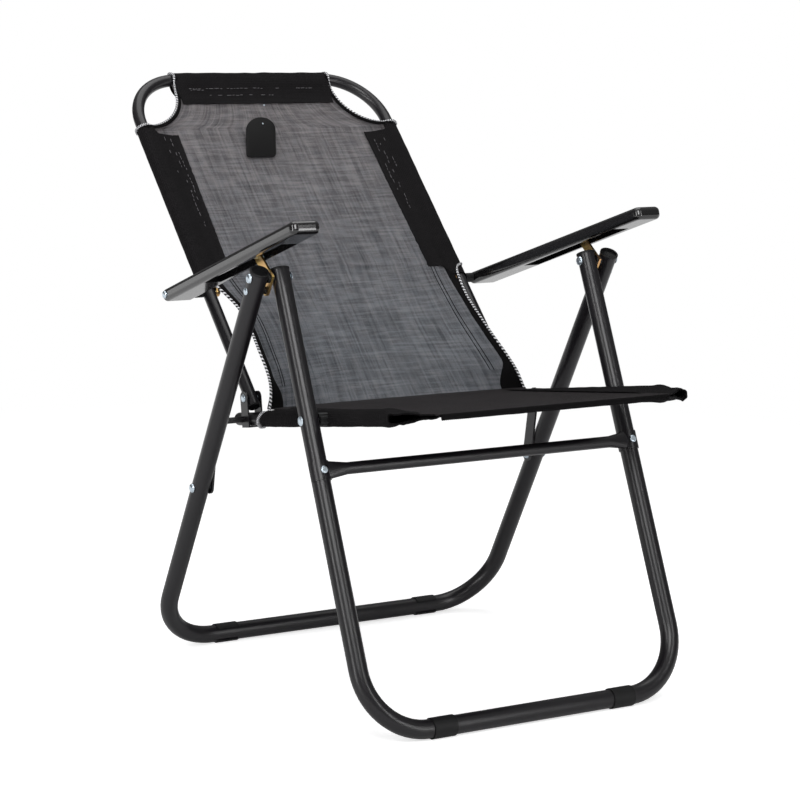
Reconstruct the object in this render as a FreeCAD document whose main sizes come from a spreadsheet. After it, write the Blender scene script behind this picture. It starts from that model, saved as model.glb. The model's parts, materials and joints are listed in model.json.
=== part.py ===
"""Folding reclining camp armchair with a mesh seat, as a FreeCAD macro (millimetres).

Frame of the part: +Z up, -Y towards the front of the chair, X across it. The origin is on the
floor under the middle of the chair. Two U-shaped leg frames cross at the apex pivots, the seat
rails hang on the front legs, and the back frame turns on two saddle brackets on the rails.
"""
import FreeCAD, Part
import math
import os
import Sketcher
from FreeCAD import Placement, Rotation, Vector

doc = FreeCAD.newDocument("CampArmchair")
sheet = doc.addObject("Spreadsheet::Sheet", "Sizes")

SIZES = [
    # name, value, what it is
    ("apex_height", 570.5, "apex pivot above the floor"),
    ("front_reach", 245.5, "apex to front floor bar, measured along the floor"),
    ("rear_reach", 304.6, "apex to rear floor bar, measured along the floor"),
    ("leg_overrun", 9.0, "leg tube past the apex pivot"),
    ("leg_dia", 25.0, "leg tube outside diameter"),
    ("leg_wall", 1.2, "leg tube wall"),
    ("leg_bend_radius", 86.0, "leg frame corner, to the tube axis"),
    ("front_half_width", 243.8, "front leg axis from the middle"),
    ("rear_half_width", 277.9, "rear leg axis from the middle"),
    ("seat_pivot_along", 194.0, "apex to seat pivot along the front leg"),
    ("seat_slope", 8.98, "seat rails below level towards the back, degrees"),
    ("rail_dia", 18.0, "seat rail and back tube outside diameter"),
    ("rail_wall", 1.2, "seat rail and back tube wall"),
    ("rail_half_width", 209.5, "seat rail and back tube axis from the middle"),
    ("rail_front", 141.0, "seat rail ahead of the seat pivot"),
    ("rail_rear", 262.0, "seat rail behind the seat pivot"),
    ("hem_front", 215.0, "cloth ahead of the seat pivot"),
    ("cloth_thick", 3.0, "seat and back cloth solids"),
    ("mesh_margin", 3.0, "seat and back cloth solids off the tubes beside them"),
    ("lumbar_margin", 12.5, "lumbar cloth solid off the tubes beside it"),
    ("mesh_rear", 110.0, "seat pivot to the end of the flat seat cloth along the rail"),
    ("crease_along", 181.0, "seat pivot to the crease between seat and back cloth"),
    ("sleeve_gap", 0.3, "sleeve off its tube"),
    ("sleeve_thick", 1.2, "sleeve cloth"),
    ("back_pivot_along", 226.0, "seat pivot to back pivot along the rail"),
    ("back_pivot_rise", 29.1, "back pivot above the rail axis"),
    ("back_lean", 44.5, "back from upright, degrees"),
    ("back_length", 586.3, "back pivot to the axis of the top bar"),
    ("back_tail", 13.7, "back tube below its pivot"),
    ("back_bend_radius", 84.0, "back frame corner, to the tube axis"),
    ("cross_rod_along", 233.8, "seat pivot to rear cross rod along the rail"),
    ("cross_rod_dia", 8.5, "rear cross rod"),
    ("cross_rod_half", 261.4, "rear cross rod end from the middle"),
    ("link_foot_along", 349.4, "apex to link pivot along the rear leg"),
    ("link_width", 20.0, "side link"),
    ("link_thick", 3.0, "side link"),
    ("link_inside", 262.0, "inner face of the side link from the middle"),
    ("crossbar_dia", 16.0, "front crossbar tube"),
    ("crossbar_wall", 1.2, "front crossbar tube wall"),
    ("crossbar_along", 263.0, "apex to crossbar collar along the front leg"),
    ("crossbar_ahead", 7.7, "crossbar axis ahead of the leg axis"),
    ("collar_height", 25.0, "crossbar collar along the leg"),
    ("collar_thick", 1.6, "crossbar collar"),
    ("bracket_inside", 258.5, "inner face of the apex bracket from the middle"),
    ("bracket_thick", 3.0, "apex bracket"),
    ("bracket_width", 15.0, "apex bracket arms"),
    ("bracket_low_along", 20.2, "apex to lower bracket rivet along the rear leg"),
    ("catch_ahead", 32.8, "catch pin behind the apex"),
    ("catch_rise", 23.9, "catch pin above the apex"),
    ("catch_pin_dia", 5.0, "catch pin"),
    ("catch_pin_half", 7.0, "catch pin end from the middle of its bracket"),
    ("arm_pivot_along", 185.0, "back pivot to armrest pivot along the back tube"),
    ("arm_slope", 18.2, "armrest above level towards the front, degrees"),
    ("arm_length", 411.0, "armrest ahead of its pivot"),
    ("arm_tail", 12.0, "armrest behind its pivot"),
    ("arm_thick", 17.5, "armrest"),
    ("arm_inner_rear", 231.5, "armrest inner face at its pivot from the middle"),
    ("arm_inner_front", 245.7, "armrest inner face at its front end from the middle"),
    ("arm_width_rear", 45.5, "armrest width at its pivot"),
    ("arm_width_front", 42.7, "armrest width at its front end"),
    ("arm_edge_radius", 6.5, "armrest long and front edges"),
    ("arm_corner_radius", 9.0, "armrest front corners seen from above"),
    ("channel_rear", 118.0, "armrest channel starts ahead of the pivot"),
    ("channel_front", 350.0, "armrest channel ends ahead of the pivot"),
    ("channel_inside", 248.0, "inner wall of the armrest channel from the middle"),
    ("channel_width", 25.0, "armrest channel"),
    ("channel_roof", 2.5, "armrest left above the channel"),
    ("rack_pitch", 13.0, "armrest rack teeth"),
    ("rack_tooth", 1.2, "armrest rack tooth height"),
    ("rack_tooth_width", 3.0, "armrest rack tooth width"),
    ("rack_sunk", 0.5, "rack teeth sunk in the walls beside them"),
    ("saddle_thick", 2.0, "saddle bracket strip"),
    ("saddle_width", 20.0, "saddle bracket along the rail"),
    ("saddle_above", 9.0, "saddle bracket ear above the back pivot"),
    ("pivot_dia", 7.0, "rivet shank of the seat, apex and link pivots"),
    ("pivot_head_dia", 13.0, "rivet head"),
    ("pivot_head_rise", 3.0, "apex and link rivet heads"),
    ("seat_head_rise", 1.8, "seat pivot rivet head, which clears the seat cloth"),
    ("back_pin_dia", 6.0, "back and armrest pivot shanks"),
    ("back_head_dia", 11.0, "back and armrest pivot heads"),
    ("back_head_rise", 2.0, "back pivot rivet heads"),
    ("arm_head_rise", 2.5, "armrest bolt heads"),
    ("small_rivet_dia", 5.0, "bracket and crossbar rivets"),
    ("small_head_dia", 10.0, "bracket and crossbar rivet heads"),
    ("bracket_head_rise", 1.5, "bracket rivet heads"),
    ("crossbar_head_rise", 2.2, "crossbar rivet heads"),
    ("stud_head_rise", 2.0, "link stud heads"),
    ("running_fit", 0.05, "radial clearance of every pivot"),
    ("side_gap", 0.3, "gap between faces that turn past each other"),
    ("face_gap", 0.02, "gap between faces that rest on each other"),
    ("tip_gap", 1.0, "plug end off the shank behind it"),
    ("spacer_dia", 18.0, "fluted seat pivot spacer"),
    ("flute_count", 8, "flutes of the seat pivot spacer"),
    ("flute_dia", 4.5, "flute of the seat pivot spacer"),
    ("washer_dia", 14.0, "plain spacers, washers and nuts"),
    ("nut_thick", 5.5, "armrest bolt nut"),
    ("nut_gap", 0.2, "armrest bolt head off its nut"),
    ("cap_rise", 3.0, "leg cap above the tube end"),
    ("cap_lip", 0.6, "leg cap rim proud of its tube"),
    ("cap_rim", 2.4, "rim round the dish of a cap"),
    ("cap_dish", 3.5, "dish in the end of a cap"),
    ("plug_depth", 14.0, "plug inside its tube"),
    ("clip_wall", 1.5, "foot clip wall"),
    ("clip_length", 34.0, "foot clip along the bar"),
    ("clip_mouth", 17.0, "foot clip opening"),
    ("clip_sole_cut", 0.3, "flat worn on the foot clip's sole"),
    ("front_clip_place", 140.0, "front foot clip from the middle"),
    ("rear_clip_place", 170.0, "rear foot clip from the middle"),
    ("sleeve_low", 201.0, "back side sleeve starts above the back pivot"),
    ("sleeve_high", 480.0, "back side sleeve ends above the back pivot"),
    ("top_sleeve_half", 137.0, "half of the sleeve on the top bar"),
    ("patch_width", 50.0, "leather patch"),
    ("patch_height", 79.0, "leather patch"),
    ("patch_thick", 1.2, "leather patch"),
    ("patch_low", 428.0, "leather patch above the back pivot"),
    ("patch_aside", -24.0, "leather patch from the middle"),
]
for row, (name, value, note) in enumerate(SIZES, start=1):
    sheet.set("A%d" % row, name)
    sheet.set("B%d" % row, str(value))
    sheet.set("C%d" % row, note)
    sheet.setAlias("B%d" % row, name)
doc.recompute()


def size(name):
    return float(sheet.get(name))


def bound(expression):
    """An expression with every size name pointed at the sheet."""
    words = expression.replace("(", " ( ").replace(")", " ) ").split()
    names = [row[0] for row in SIZES]
    return " ".join("Sizes." + word if word in names else word for word in words)


# ---------------------------------------------------------------- places of the pivots
def rad(name):
    return math.radians(size(name))


FOOT_AXIS = size("leg_dia") / 2 + size("clip_wall") - size("clip_sole_cut")
LEG_DROP = size("apex_height") - FOOT_AXIS
FRONT_LEAN = math.atan2(size("front_reach"), LEG_DROP)
REAR_LEAN = math.atan2(size("rear_reach"), LEG_DROP)
FRONT_LENGTH = math.hypot(size("front_reach"), LEG_DROP)
REAR_LENGTH = math.hypot(size("rear_reach"), LEG_DROP)


def along(start, lean, distance):
    """The point a distance up a member that leans back from upright by this angle."""
    return Vector(0, start.y + distance * math.sin(lean), start.z + distance * math.cos(lean))


def on_seat(start, rearward, rise):
    """The point this far behind and above a start, in the plane of the seat rails."""
    slope = rad("seat_slope")
    y = start.y + rearward * math.cos(slope) + rise * math.sin(slope)
    return Vector(0, y, start.z - rearward * math.sin(slope) + rise * math.cos(slope))


def pivots(apex):
    seat = along(apex, FRONT_LEAN, -size("seat_pivot_along"))
    back = on_seat(seat, size("back_pivot_along"), size("back_pivot_rise"))
    return {
        "apex": apex,
        "seat": seat,
        "back": back,
        "arm": along(back, rad("back_lean"), size("arm_pivot_along")),
        "rod": on_seat(seat, size("cross_rod_along"), 0),
        "link": along(apex, -REAR_LEAN, -size("link_foot_along")),
        "crossbar": along(apex, FRONT_LEAN, -size("crossbar_along")),
        "catch": Vector(0, apex.y + size("catch_ahead"), apex.z + size("catch_rise")),
        "bracket_low": along(apex, -REAR_LEAN, -size("bracket_low_along")),
    }


# The origin stands under the middle of the chair's depth, from cloth hem to top bar.
under_apex = pivots(Vector(0, 0, size("apex_height")))
hem = on_seat(under_apex["seat"], -size("hem_front"), -size("cloth_thick") / 2)
top_bar = along(under_apex["back"], rad("back_lean"), size("back_length"))
top_reach = top_bar.y + size("rail_dia") / 2 + size("sleeve_gap") + size("sleeve_thick")
PIVOT = pivots(Vector(0, -(hem.y + top_reach) / 2, size("apex_height")))

FRONT_LEG = Placement(PIVOT["apex"], Rotation(Vector(1, 0, 0), -math.degrees(FRONT_LEAN)))
REAR_LEG = Placement(PIVOT["apex"], Rotation(Vector(1, 0, 0), math.degrees(REAR_LEAN)))
SEAT = Placement(PIVOT["seat"], Rotation(Vector(1, 0, 0), -size("seat_slope")))
BACK = Placement(PIVOT["back"], Rotation(Vector(1, 0, 0), -size("back_lean")))
ARM = Placement(PIVOT["arm"], Rotation(Vector(1, 0, 0), -size("arm_slope")))
to_rod = PIVOT["rod"] - PIVOT["link"]
LINK = Placement(PIVOT["link"], Rotation(Vector(1, 0, 0), -math.degrees(math.atan2(to_rod.y, to_rod.z))))


# ---------------------------------------------------------------- modelling helpers
def new_body(label, placement=Placement()):
    body = doc.addObject("PartDesign::Body", label)
    body.Label = label
    body.Placement = placement
    return body


def new_sketch(body, role, lift="0"):
    """A sketch on one of the body's origin planes, lifted off it by an expression."""
    sketch = body.newObject("Sketcher::SketchObject", body.Label + "_sketch")
    plane = [feature for feature in body.Origin.OriginFeatures if feature.Role == role][0]
    sketch.AttachmentSupport = [(plane, "")]
    sketch.MapMode = "FlatFace"
    if lift != "0":
        sketch.setExpression(".AttachmentOffset.Base.z", bound(lift))
    return sketch


def bind(sketch, constraint, expression):
    index = sketch.addConstraint(constraint)
    sketch.setExpression("Constraints[%d]" % index, bound(expression))


def circle(sketch, x, y, radius):
    """A circle whose centre and radius are expressions."""
    index = sketch.addGeometry(Part.Circle(Vector(0, 0, 0), Vector(0, 0, 1), 5.0))
    bind(sketch, Sketcher.Constraint("DistanceX", -1, 1, index, 3, 0.0), x)
    bind(sketch, Sketcher.Constraint("DistanceY", -1, 1, index, 3, 0.0), y)
    bind(sketch, Sketcher.Constraint("Radius", index, 5.0), radius)


def polygon(sketch, corners):
    """A closed outline whose corner places are pairs of expressions."""
    count = len(corners)
    ring = [Vector(math.cos(2 * math.pi * k / count), math.sin(2 * math.pi * k / count), 0)
            for k in range(count)]
    lines = [sketch.addGeometry(Part.LineSegment(ring[k], ring[(k + 1) % count]))
             for k in range(count)]
    for k in range(count):
        sketch.addConstraint(Sketcher.Constraint("Coincident", lines[k - 1], 2, lines[k], 1))
    for k, (x, y) in enumerate(corners):
        bind(sketch, Sketcher.Constraint("DistanceX", -1, 1, lines[k], 1, 0.0), x)
        bind(sketch, Sketcher.Constraint("DistanceY", -1, 1, lines[k], 1, 0.0), y)


def pad(body, sketch, length, midplane=False):
    feature = body.newObject("PartDesign::Pad", body.Label + "_pad")
    feature.Profile = sketch
    feature.setExpression("Length", bound(length))
    feature.Midplane = midplane
    return feature


def cut_across(body, x, y, radius, role="YZ_Plane"):
    """A round hole right through the body, square to one of its planes."""
    sketch = new_sketch(body, role)
    circle(sketch, x, y, radius)
    feature = body.newObject("PartDesign::Pocket", body.Label + "_hole")
    feature.Profile = sketch
    feature.Type = 1
    feature.Midplane = True
    return feature


def round_edges(body, radius, wanted):
    """Fillets on the edges of the tip that a test picks."""
    doc.recompute()
    tip = body.Tip
    names = ["Edge%d" % (k + 1) for k, edge in enumerate(tip.Shape.Edges) if wanted(edge)]
    feature = body.newObject("PartDesign::Fillet", body.Label + "_fillet")
    feature.Base = (tip, names)
    feature.setExpression("Radius", bound(radius))
    return feature


def tube_along(body, role, outer, wall, length, midplane=False, lift="0"):
    sketch = new_sketch(body, role, lift)
    circle(sketch, "0", "0", outer + " / 2")
    if wall:
        circle(sketch, "0", "0", "%s / 2 - %s" % (outer, wall))
    return pad(body, sketch, length, midplane)


def mirrored(label, source):
    twin = doc.addObject("Part::Mirroring", label)
    twin.Label = label
    twin.Source = source
    twin.Normal = Vector(1, 0, 0)
    return twin


def both_sides(label, source):
    """One node of two separate solids: a piece and its mirror image."""
    twin = mirrored(label + "_other", source)
    pair = doc.addObject("Part::Compound", label)
    pair.Label = label
    pair.Links = [source, twin]
    return pair


def bent_frame(label, placement, half_width, foot, top, bend, dia, wall):
    """A U-shaped tube in the body's XZ plane: its bar at the foot, its two ends at the top."""
    body = new_body(label, placement)
    wide = size(half_width)
    low, high, turn = foot[0], top[0], size(bend)
    up = 1 if high > low else -1
    path = new_sketch(body, "XZ_Plane")
    bar_start, bar_end = Vector(turn - wide, low, 0), Vector(wide - turn, low, 0)
    left_end = Vector(-wide, low + up * turn, 0)
    right_end = Vector(wide, low + up * turn, 0)
    left = path.addGeometry(Part.LineSegment(Vector(-wide, high, 0), left_end))
    bar = path.addGeometry(Part.LineSegment(bar_start, bar_end))
    right = path.addGeometry(Part.LineSegment(right_end, Vector(wide, high, 0)))
    slant = turn * math.sqrt(0.5)
    left_middle = Vector(turn - wide - slant, low + up * (turn - slant), 0)
    right_middle = Vector(wide - turn + slant, low + up * (turn - slant), 0)
    arcs = [path.addGeometry(Part.Arc(left_end, left_middle, bar_start)),
            path.addGeometry(Part.Arc(bar_end, right_middle, right_end))]
    first_start, first_end = (1, 2) if up > 0 else (2, 1)
    path.addConstraint(Sketcher.Constraint("Tangent", left, 2, arcs[0], first_start))
    path.addConstraint(Sketcher.Constraint("Tangent", arcs[0], first_end, bar, 1))
    path.addConstraint(Sketcher.Constraint("Tangent", bar, 2, arcs[1], first_start))
    path.addConstraint(Sketcher.Constraint("Tangent", arcs[1], first_end, right, 1))
    path.addConstraint(Sketcher.Constraint("Horizontal", bar))
    path.addConstraint(Sketcher.Constraint("Vertical", left))
    path.addConstraint(Sketcher.Constraint("Vertical", right))
    for arc in arcs:
        bind(path, Sketcher.Constraint("Radius", arc, turn), bend)
    bind(path, Sketcher.Constraint("DistanceX", -1, 1, left, 1, -wide), "0 - " + half_width)
    bind(path, Sketcher.Constraint("DistanceX", -1, 1, right, 2, wide), half_width)
    bind(path, Sketcher.Constraint("DistanceY", -1, 1, bar, 1, low), foot[1])
    bind(path, Sketcher.Constraint("DistanceY", -1, 1, left, 1, high), top[1])
    bind(path, Sketcher.Constraint("DistanceY", -1, 1, right, 2, high), top[1])
    ring = new_sketch(body, "XY_Plane", top[1])
    circle(ring, "0 - " + half_width, "0", dia + " / 2")
    circle(ring, "0 - " + half_width, "0", "%s / 2 - %s" % (dia, wall))
    doc.recompute()
    pipe = body.newObject("PartDesign::AdditivePipe", label + "_tube")
    pipe.Profile = ring
    pipe.Spine = path
    return body


def rivet(label, place, inside, outside, shank, head, rise="pivot_head_rise"):
    """A rivet along X with a domed head beyond each of two distances from the middle."""
    body = new_body(label, Placement(Vector(0, place.y, place.z), Rotation()))
    profile = new_sketch(body, "XY_Plane")
    dome = "( %s / 2 ) * 0.72" % head
    polygon(profile, [
        ("%s - %s" % (inside, rise), "0"),
        ("%s - %s" % (inside, rise), "( %s ) * 0.6" % dome),
        ("%s - %s * 0.62" % (inside, rise), dome + " * 1.2"),
        (inside, head + " / 2"),
        (inside, shank + " / 2"),
        (outside, shank + " / 2"),
        (outside, head + " / 2"),
        ("%s + %s * 0.62" % (outside, rise), dome + " * 1.2"),
        ("%s + %s" % (outside, rise), "( %s ) * 0.6" % dome),
        ("%s + %s" % (outside, rise), "0"),
    ])
    turn = body.newObject("PartDesign::Revolution", label + "_turned")
    turn.Profile = profile
    turn.ReferenceAxis = (profile, ["H_Axis"])
    turn.Angle = 360
    return body


def ring_on_axis(label, place, inside, outside, dia, bore):
    """A plain round spacer, washer or nut along X."""
    body = new_body(label, Placement(Vector(0, place.y, place.z), Rotation()))
    tube = new_sketch(body, "YZ_Plane", inside)
    circle(tube, "0", "0", dia + " / 2")
    circle(tube, "0", "0", bore)
    pad(body, tube, "( %s ) - ( %s )" % (outside, inside))
    return body


nodes = []


def keep(*made):
    nodes.extend(made)


def local(frame, point):
    """A point of the whole chair in a member's own frame, as text for the sketches."""
    inside = frame.inverse().multVec(Vector(0, point.y, point.z))
    return "%.6f" % inside.y, "%.6f" % inside.z


PIVOT_BORE = "pivot_dia / 2 + running_fit"
PIN_BORE = "back_pin_dia / 2 + running_fit"
SMALL_BORE = "small_rivet_dia / 2 + running_fit"

# ---------------------------------------------------------------- leg frames
front_legs = bent_frame("front_leg_frame", FRONT_LEG, "front_half_width",
                        (-FRONT_LENGTH, "%.6f" % -FRONT_LENGTH),
                        (size("leg_overrun"), "leg_overrun"),
                        "leg_bend_radius", "leg_dia", "leg_wall")
cut_across(front_legs, "0", "0", PIVOT_BORE)
cut_across(front_legs, "0", "0 - seat_pivot_along", PIVOT_BORE)
keep(front_legs)

rear_legs = bent_frame("rear_leg_frame", REAR_LEG, "rear_half_width",
                       (-REAR_LENGTH, "%.6f" % -REAR_LENGTH),
                       (size("leg_overrun"), "leg_overrun"),
                       "leg_bend_radius", "leg_dia", "leg_wall")
cut_across(rear_legs, "0", "0", PIVOT_BORE)
cut_across(rear_legs, "0", "0 - bracket_low_along", SMALL_BORE)
cut_across(rear_legs, "0", "0 - link_foot_along", PIVOT_BORE)
keep(rear_legs)


def dish(body, role, lift, place, radius, depth, reverse=False):
    """A round hollow in the end face of a cap or plug."""
    mouth = new_sketch(body, role, lift)
    circle(mouth, place, "0", radius)
    feature = body.newObject("PartDesign::Pocket", body.Label + "_dish")
    feature.Profile = mouth
    feature.setExpression("Length", bound(depth))
    feature.Reversed = reverse
    return feature


def leg_cap(label, frame, half_width):
    """A dished cap with a small lip that plugs a leg tube's upper end."""
    body = new_body(label, frame)
    flange = new_sketch(body, "XY_Plane", "leg_overrun + face_gap")
    circle(flange, half_width, "0", "leg_dia / 2 + cap_lip")
    pad(body, flange, "cap_rise")
    round_edges(body, "cap_rise * 0.4", lambda edge: (
        edge.BoundBox.ZMin > size("leg_overrun") + size("cap_rise") / 2))
    stem = new_sketch(body, "XY_Plane", "leg_overrun + face_gap")
    circle(stem, half_width, "0", "leg_dia / 2 - leg_wall - running_fit")
    plug = pad(body, stem, "leg_overrun - pivot_dia / 2 - tip_gap")
    plug.Reversed = True
    dish(body, "XY_Plane", "leg_overrun + face_gap + cap_rise", half_width,
         "leg_dia / 2 + cap_lip - cap_rim", "cap_dish")
    return body


keep(both_sides("front_leg_caps", leg_cap("front_leg_cap", FRONT_LEG, "front_half_width")))
keep(both_sides("rear_leg_caps", leg_cap("rear_leg_cap", REAR_LEG, "rear_half_width")))


def foot_clip(label, y, place, facing):
    """A C-shaped clip pressed on a floor bar, closed at the outside, flat at its sole."""
    body = new_body(label, Placement(Vector(0, y, FOOT_AXIS), Rotation()))
    ring = new_sketch(body, "YZ_Plane", "%s - clip_length / 2" % place)
    circle(ring, "0", "0", "leg_dia / 2 + clip_wall")
    circle(ring, "0", "0", "leg_dia / 2 + running_fit")
    pad(body, ring, "clip_length")
    cuts = new_sketch(body, "YZ_Plane", "%s - clip_length / 2 - 1" % place)
    far = "( leg_dia + clip_wall )"
    side = "" if facing > 0 else "0 - "
    polygon(cuts, [("0", "clip_mouth / 2"), ("0", "0 - clip_mouth / 2"),
                   (side + far, "0 - clip_mouth / 2"), (side + far, "clip_mouth / 2")])
    sole = "0 - ( leg_dia / 2 + clip_wall - clip_sole_cut )"
    polygon(cuts, [("0 - " + far, sole), (far, sole), (far, "0 - " + far), ("0 - " + far, "0 - " + far)])
    mouth = body.newObject("PartDesign::Pocket", label + "_mouth")
    mouth.Profile = cuts
    mouth.setExpression("Length", bound("clip_length + 2"))
    mouth.Reversed = True
    return body


front_bar_y = PIVOT["apex"].y - size("front_reach")
rear_bar_y = PIVOT["apex"].y + size("rear_reach")
keep(both_sides("front_foot_clips", foot_clip("front_foot_clip", front_bar_y, "front_clip_place", 1)))
keep(both_sides("rear_foot_clips", foot_clip("rear_foot_clip", rear_bar_y, "rear_clip_place", -1)))

# ---------------------------------------------------------------- front crossbar
def crossbar_end():
    """A flattened tube end and the collar that wraps the inner front of the leg."""
    wide, tall = size("front_half_width"), size("collar_height")
    ahead, half = size("crossbar_ahead"), size("crossbar_dia") / 2
    leg = size("leg_dia") / 2 + size("running_fit")
    outer = leg + size("collar_thick")
    start = wide - leg - 3 * half
    round_end = Part.Wire(Part.Circle(Vector(start, -ahead, 0), Vector(1, 0, 0), half).toShape())
    flat = Part.Ellipse(Vector(0, 0, 0), tall / 2, half * 0.55).toShape()
    flat.Placement = Placement(Vector(wide - leg / 2, -ahead, 0), Rotation(Vector(0, 1, 0), 90))
    flare = Part.makeLoft([round_end, Part.Wire(flat)], True)
    collar = Part.makeCylinder(outer, tall, Vector(wide, 0, -tall / 2))
    wedge = Part.makeBox(2 * outer, outer, tall, Vector(wide - outer, -outer, -tall / 2))
    wrap = collar.common(wedge.fuse(Part.makeBox(outer, 2 * outer, tall,
                                                 Vector(wide - outer, -outer, -tall / 2))))
    bore = Part.makeCylinder(leg, 4 * tall, Vector(wide, 0, -2 * tall))
    return flare.fuse(wrap).cut(bore)


end = crossbar_end()
middle_half = size("front_half_width") - size("leg_dia") / 2 - size("running_fit") \
    - 1.5 * size("crossbar_dia")
tube = Part.makeCylinder(size("crossbar_dia") / 2, 2 * middle_half,
                         Vector(-middle_half, -size("crossbar_ahead"), 0), Vector(1, 0, 0))
rivet_hole = Part.makeCylinder(size("small_rivet_dia") / 2 + size("running_fit"), size("leg_dia"),
                               Vector(size("front_half_width"), -size("leg_dia"), 0), Vector(0, 1, 0))
end = end.cut(rivet_hole)
crossbar = doc.addObject("Part::Feature", "front_crossbar")
crossbar.Shape = tube.fuse([end, end.mirror(Vector(0, 0, 0), Vector(1, 0, 0))]).removeSplitter()
crossbar.Label = "front_crossbar"
crossbar.Placement = Placement(PIVOT["crossbar"], FRONT_LEG.Rotation)
keep(crossbar)

crossbar_rivet = new_body("crossbar_rivet", Placement(PIVOT["crossbar"], FRONT_LEG.Rotation))
face = "leg_dia / 2 + running_fit + collar_thick + face_gap"
head = new_sketch(crossbar_rivet, "XZ_Plane", face)
circle(head, "front_half_width", "0", "small_head_dia / 2")
pad(crossbar_rivet, head, "crossbar_head_rise")
round_edges(crossbar_rivet, "crossbar_head_rise * 0.7", lambda edge: (
    edge.BoundBox.YMax < -size("leg_dia") / 2 - size("collar_thick") - size("crossbar_head_rise") / 2))
shank = new_sketch(crossbar_rivet, "XZ_Plane", face)
circle(shank, "front_half_width", "0", "small_rivet_dia / 2")
pad(crossbar_rivet, shank, face + " - leg_dia / 2 + leg_wall - running_fit").Reversed = True
keep(both_sides("crossbar_rivets", crossbar_rivet))
front_drill = new_sketch(front_legs, "XZ_Plane")
for hand in ("", "0 - "):
    circle(front_drill, hand + "front_half_width", "0 - crossbar_along", SMALL_BORE)
drilled = front_legs.newObject("PartDesign::Pocket", "crossbar_rivet_holes")
drilled.Profile = front_drill
drilled.setExpression("Length", bound("leg_dia"))
drilled.Reversed = True

# ---------------------------------------------------------------- seat
def seat_rail(label):
    body = new_body(label, SEAT)
    ring = new_sketch(body, "XZ_Plane", "0 - rail_rear")
    circle(ring, "rail_half_width", "0", "rail_dia / 2")
    circle(ring, "rail_half_width", "0", "rail_dia / 2 - rail_wall")
    pad(body, ring, "rail_front + rail_rear")
    cut_across(body, "0", "0", PIVOT_BORE)
    cut_across(body, "cross_rod_along", "0", "cross_rod_dia / 2 + running_fit")
    return body


rail = seat_rail("seat_rail_right")
keep(rail, mirrored("seat_rail_left", rail))

rail_plugs = []
for label, lift, grow in (("seat_rail_rear_plug", "0 - rail_rear - face_gap", False),
                          ("seat_rail_front_plug", "rail_front + face_gap", True)):
    body = new_body(label, SEAT)
    flange = new_sketch(body, "XZ_Plane", lift)
    circle(flange, "rail_half_width", "0", "rail_dia / 2")
    pad(body, flange, "cap_rise").Reversed = not grow
    round_edges(body, "cap_rise * 0.8", lambda edge, front=grow: (
        edge.BoundBox.YMax < -size("rail_front") - size("cap_rise") / 2 if front
        else edge.BoundBox.YMin > size("rail_rear") + size("cap_rise") / 2))
    stem = new_sketch(body, "XZ_Plane", lift)
    circle(stem, "rail_half_width", "0", "rail_dia / 2 - rail_wall - running_fit")
    pad(body, stem, "plug_depth").Reversed = grow
    rail_plugs.append(both_sides(label + "s", body))
keep(*rail_plugs)

rod = new_body("rear_cross_rod", SEAT)
rod_circle = new_sketch(rod, "YZ_Plane")
circle(rod_circle, "cross_rod_along", "0", "cross_rod_dia / 2")
pad(rod, rod_circle, "2 * cross_rod_half", midplane=True)
keep(rod)

saddle = new_body("back_saddle_right", SEAT)
strip = new_sketch(saddle, "XZ_Plane", "0 - back_pivot_along - saddle_width / 2")
inner = "rail_half_width - rail_dia / 2 - side_gap - saddle_thick"
outer = "rail_half_width + rail_dia / 2 + side_gap + saddle_thick"
rise = "back_pivot_rise + saddle_above"
floor = "0 - rail_dia / 2 - side_gap"
polygon(strip, [
    (inner, rise), (inner, floor + " - saddle_thick"), (outer, floor + " - saddle_thick"),
    (outer, rise), (outer + " - saddle_thick", rise), (outer + " - saddle_thick", floor),
    (inner + " + saddle_thick", floor), (inner + " + saddle_thick", rise)])
pad(saddle, strip, "saddle_width")
round_edges(saddle, "saddle_width * 0.42", lambda edge: (
    edge.BoundBox.ZMin > size("back_pivot_rise") + size("saddle_above") / 2
    and edge.BoundBox.XLength > size("saddle_thick") / 2 > edge.BoundBox.YLength))
cut_across(saddle, "back_pivot_along", "back_pivot_rise", PIN_BORE)
cut_across(saddle, "cross_rod_along", "0", "cross_rod_dia / 2 + running_fit")
keep(saddle, mirrored("back_saddle_left", saddle))

spacer = ring_on_axis("seat_pivot_spacer", PIVOT["seat"], "rail_half_width + rail_dia / 2 + side_gap",
                      "front_half_width - leg_dia / 2 - running_fit", "spacer_dia", PIVOT_BORE)
flute = new_sketch(spacer, "YZ_Plane", "rail_half_width")
circle(flute, "0", "spacer_dia / 2 + flute_dia * 0.2", "flute_dia / 2")
groove = spacer.newObject("PartDesign::Pocket", "spacer_flute")
groove.Profile = flute
groove.setExpression("Length", bound("leg_dia * 2"))
groove.Reversed = True
doc.recompute()
around = spacer.newObject("PartDesign::PolarPattern", "spacer_flutes")
around.Originals = [groove]
around.Axis = (flute, ["N_Axis"])
around.Angle = 360
around.Occurrences = int(size("flute_count"))
spacer.Tip = around
keep(both_sides("seat_pivot_spacers", spacer))

# ---------------------------------------------------------------- back frame
back_frame = bent_frame("back_frame", BACK, "rail_half_width",
                        (size("back_length"), "back_length"), (-size("back_tail"), "0 - back_tail"),
                        "back_bend_radius", "rail_dia", "rail_wall")
cut_across(back_frame, "0", "0", PIN_BORE)
cut_across(back_frame, "0", "arm_pivot_along", PIN_BORE)
keep(back_frame)

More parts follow.
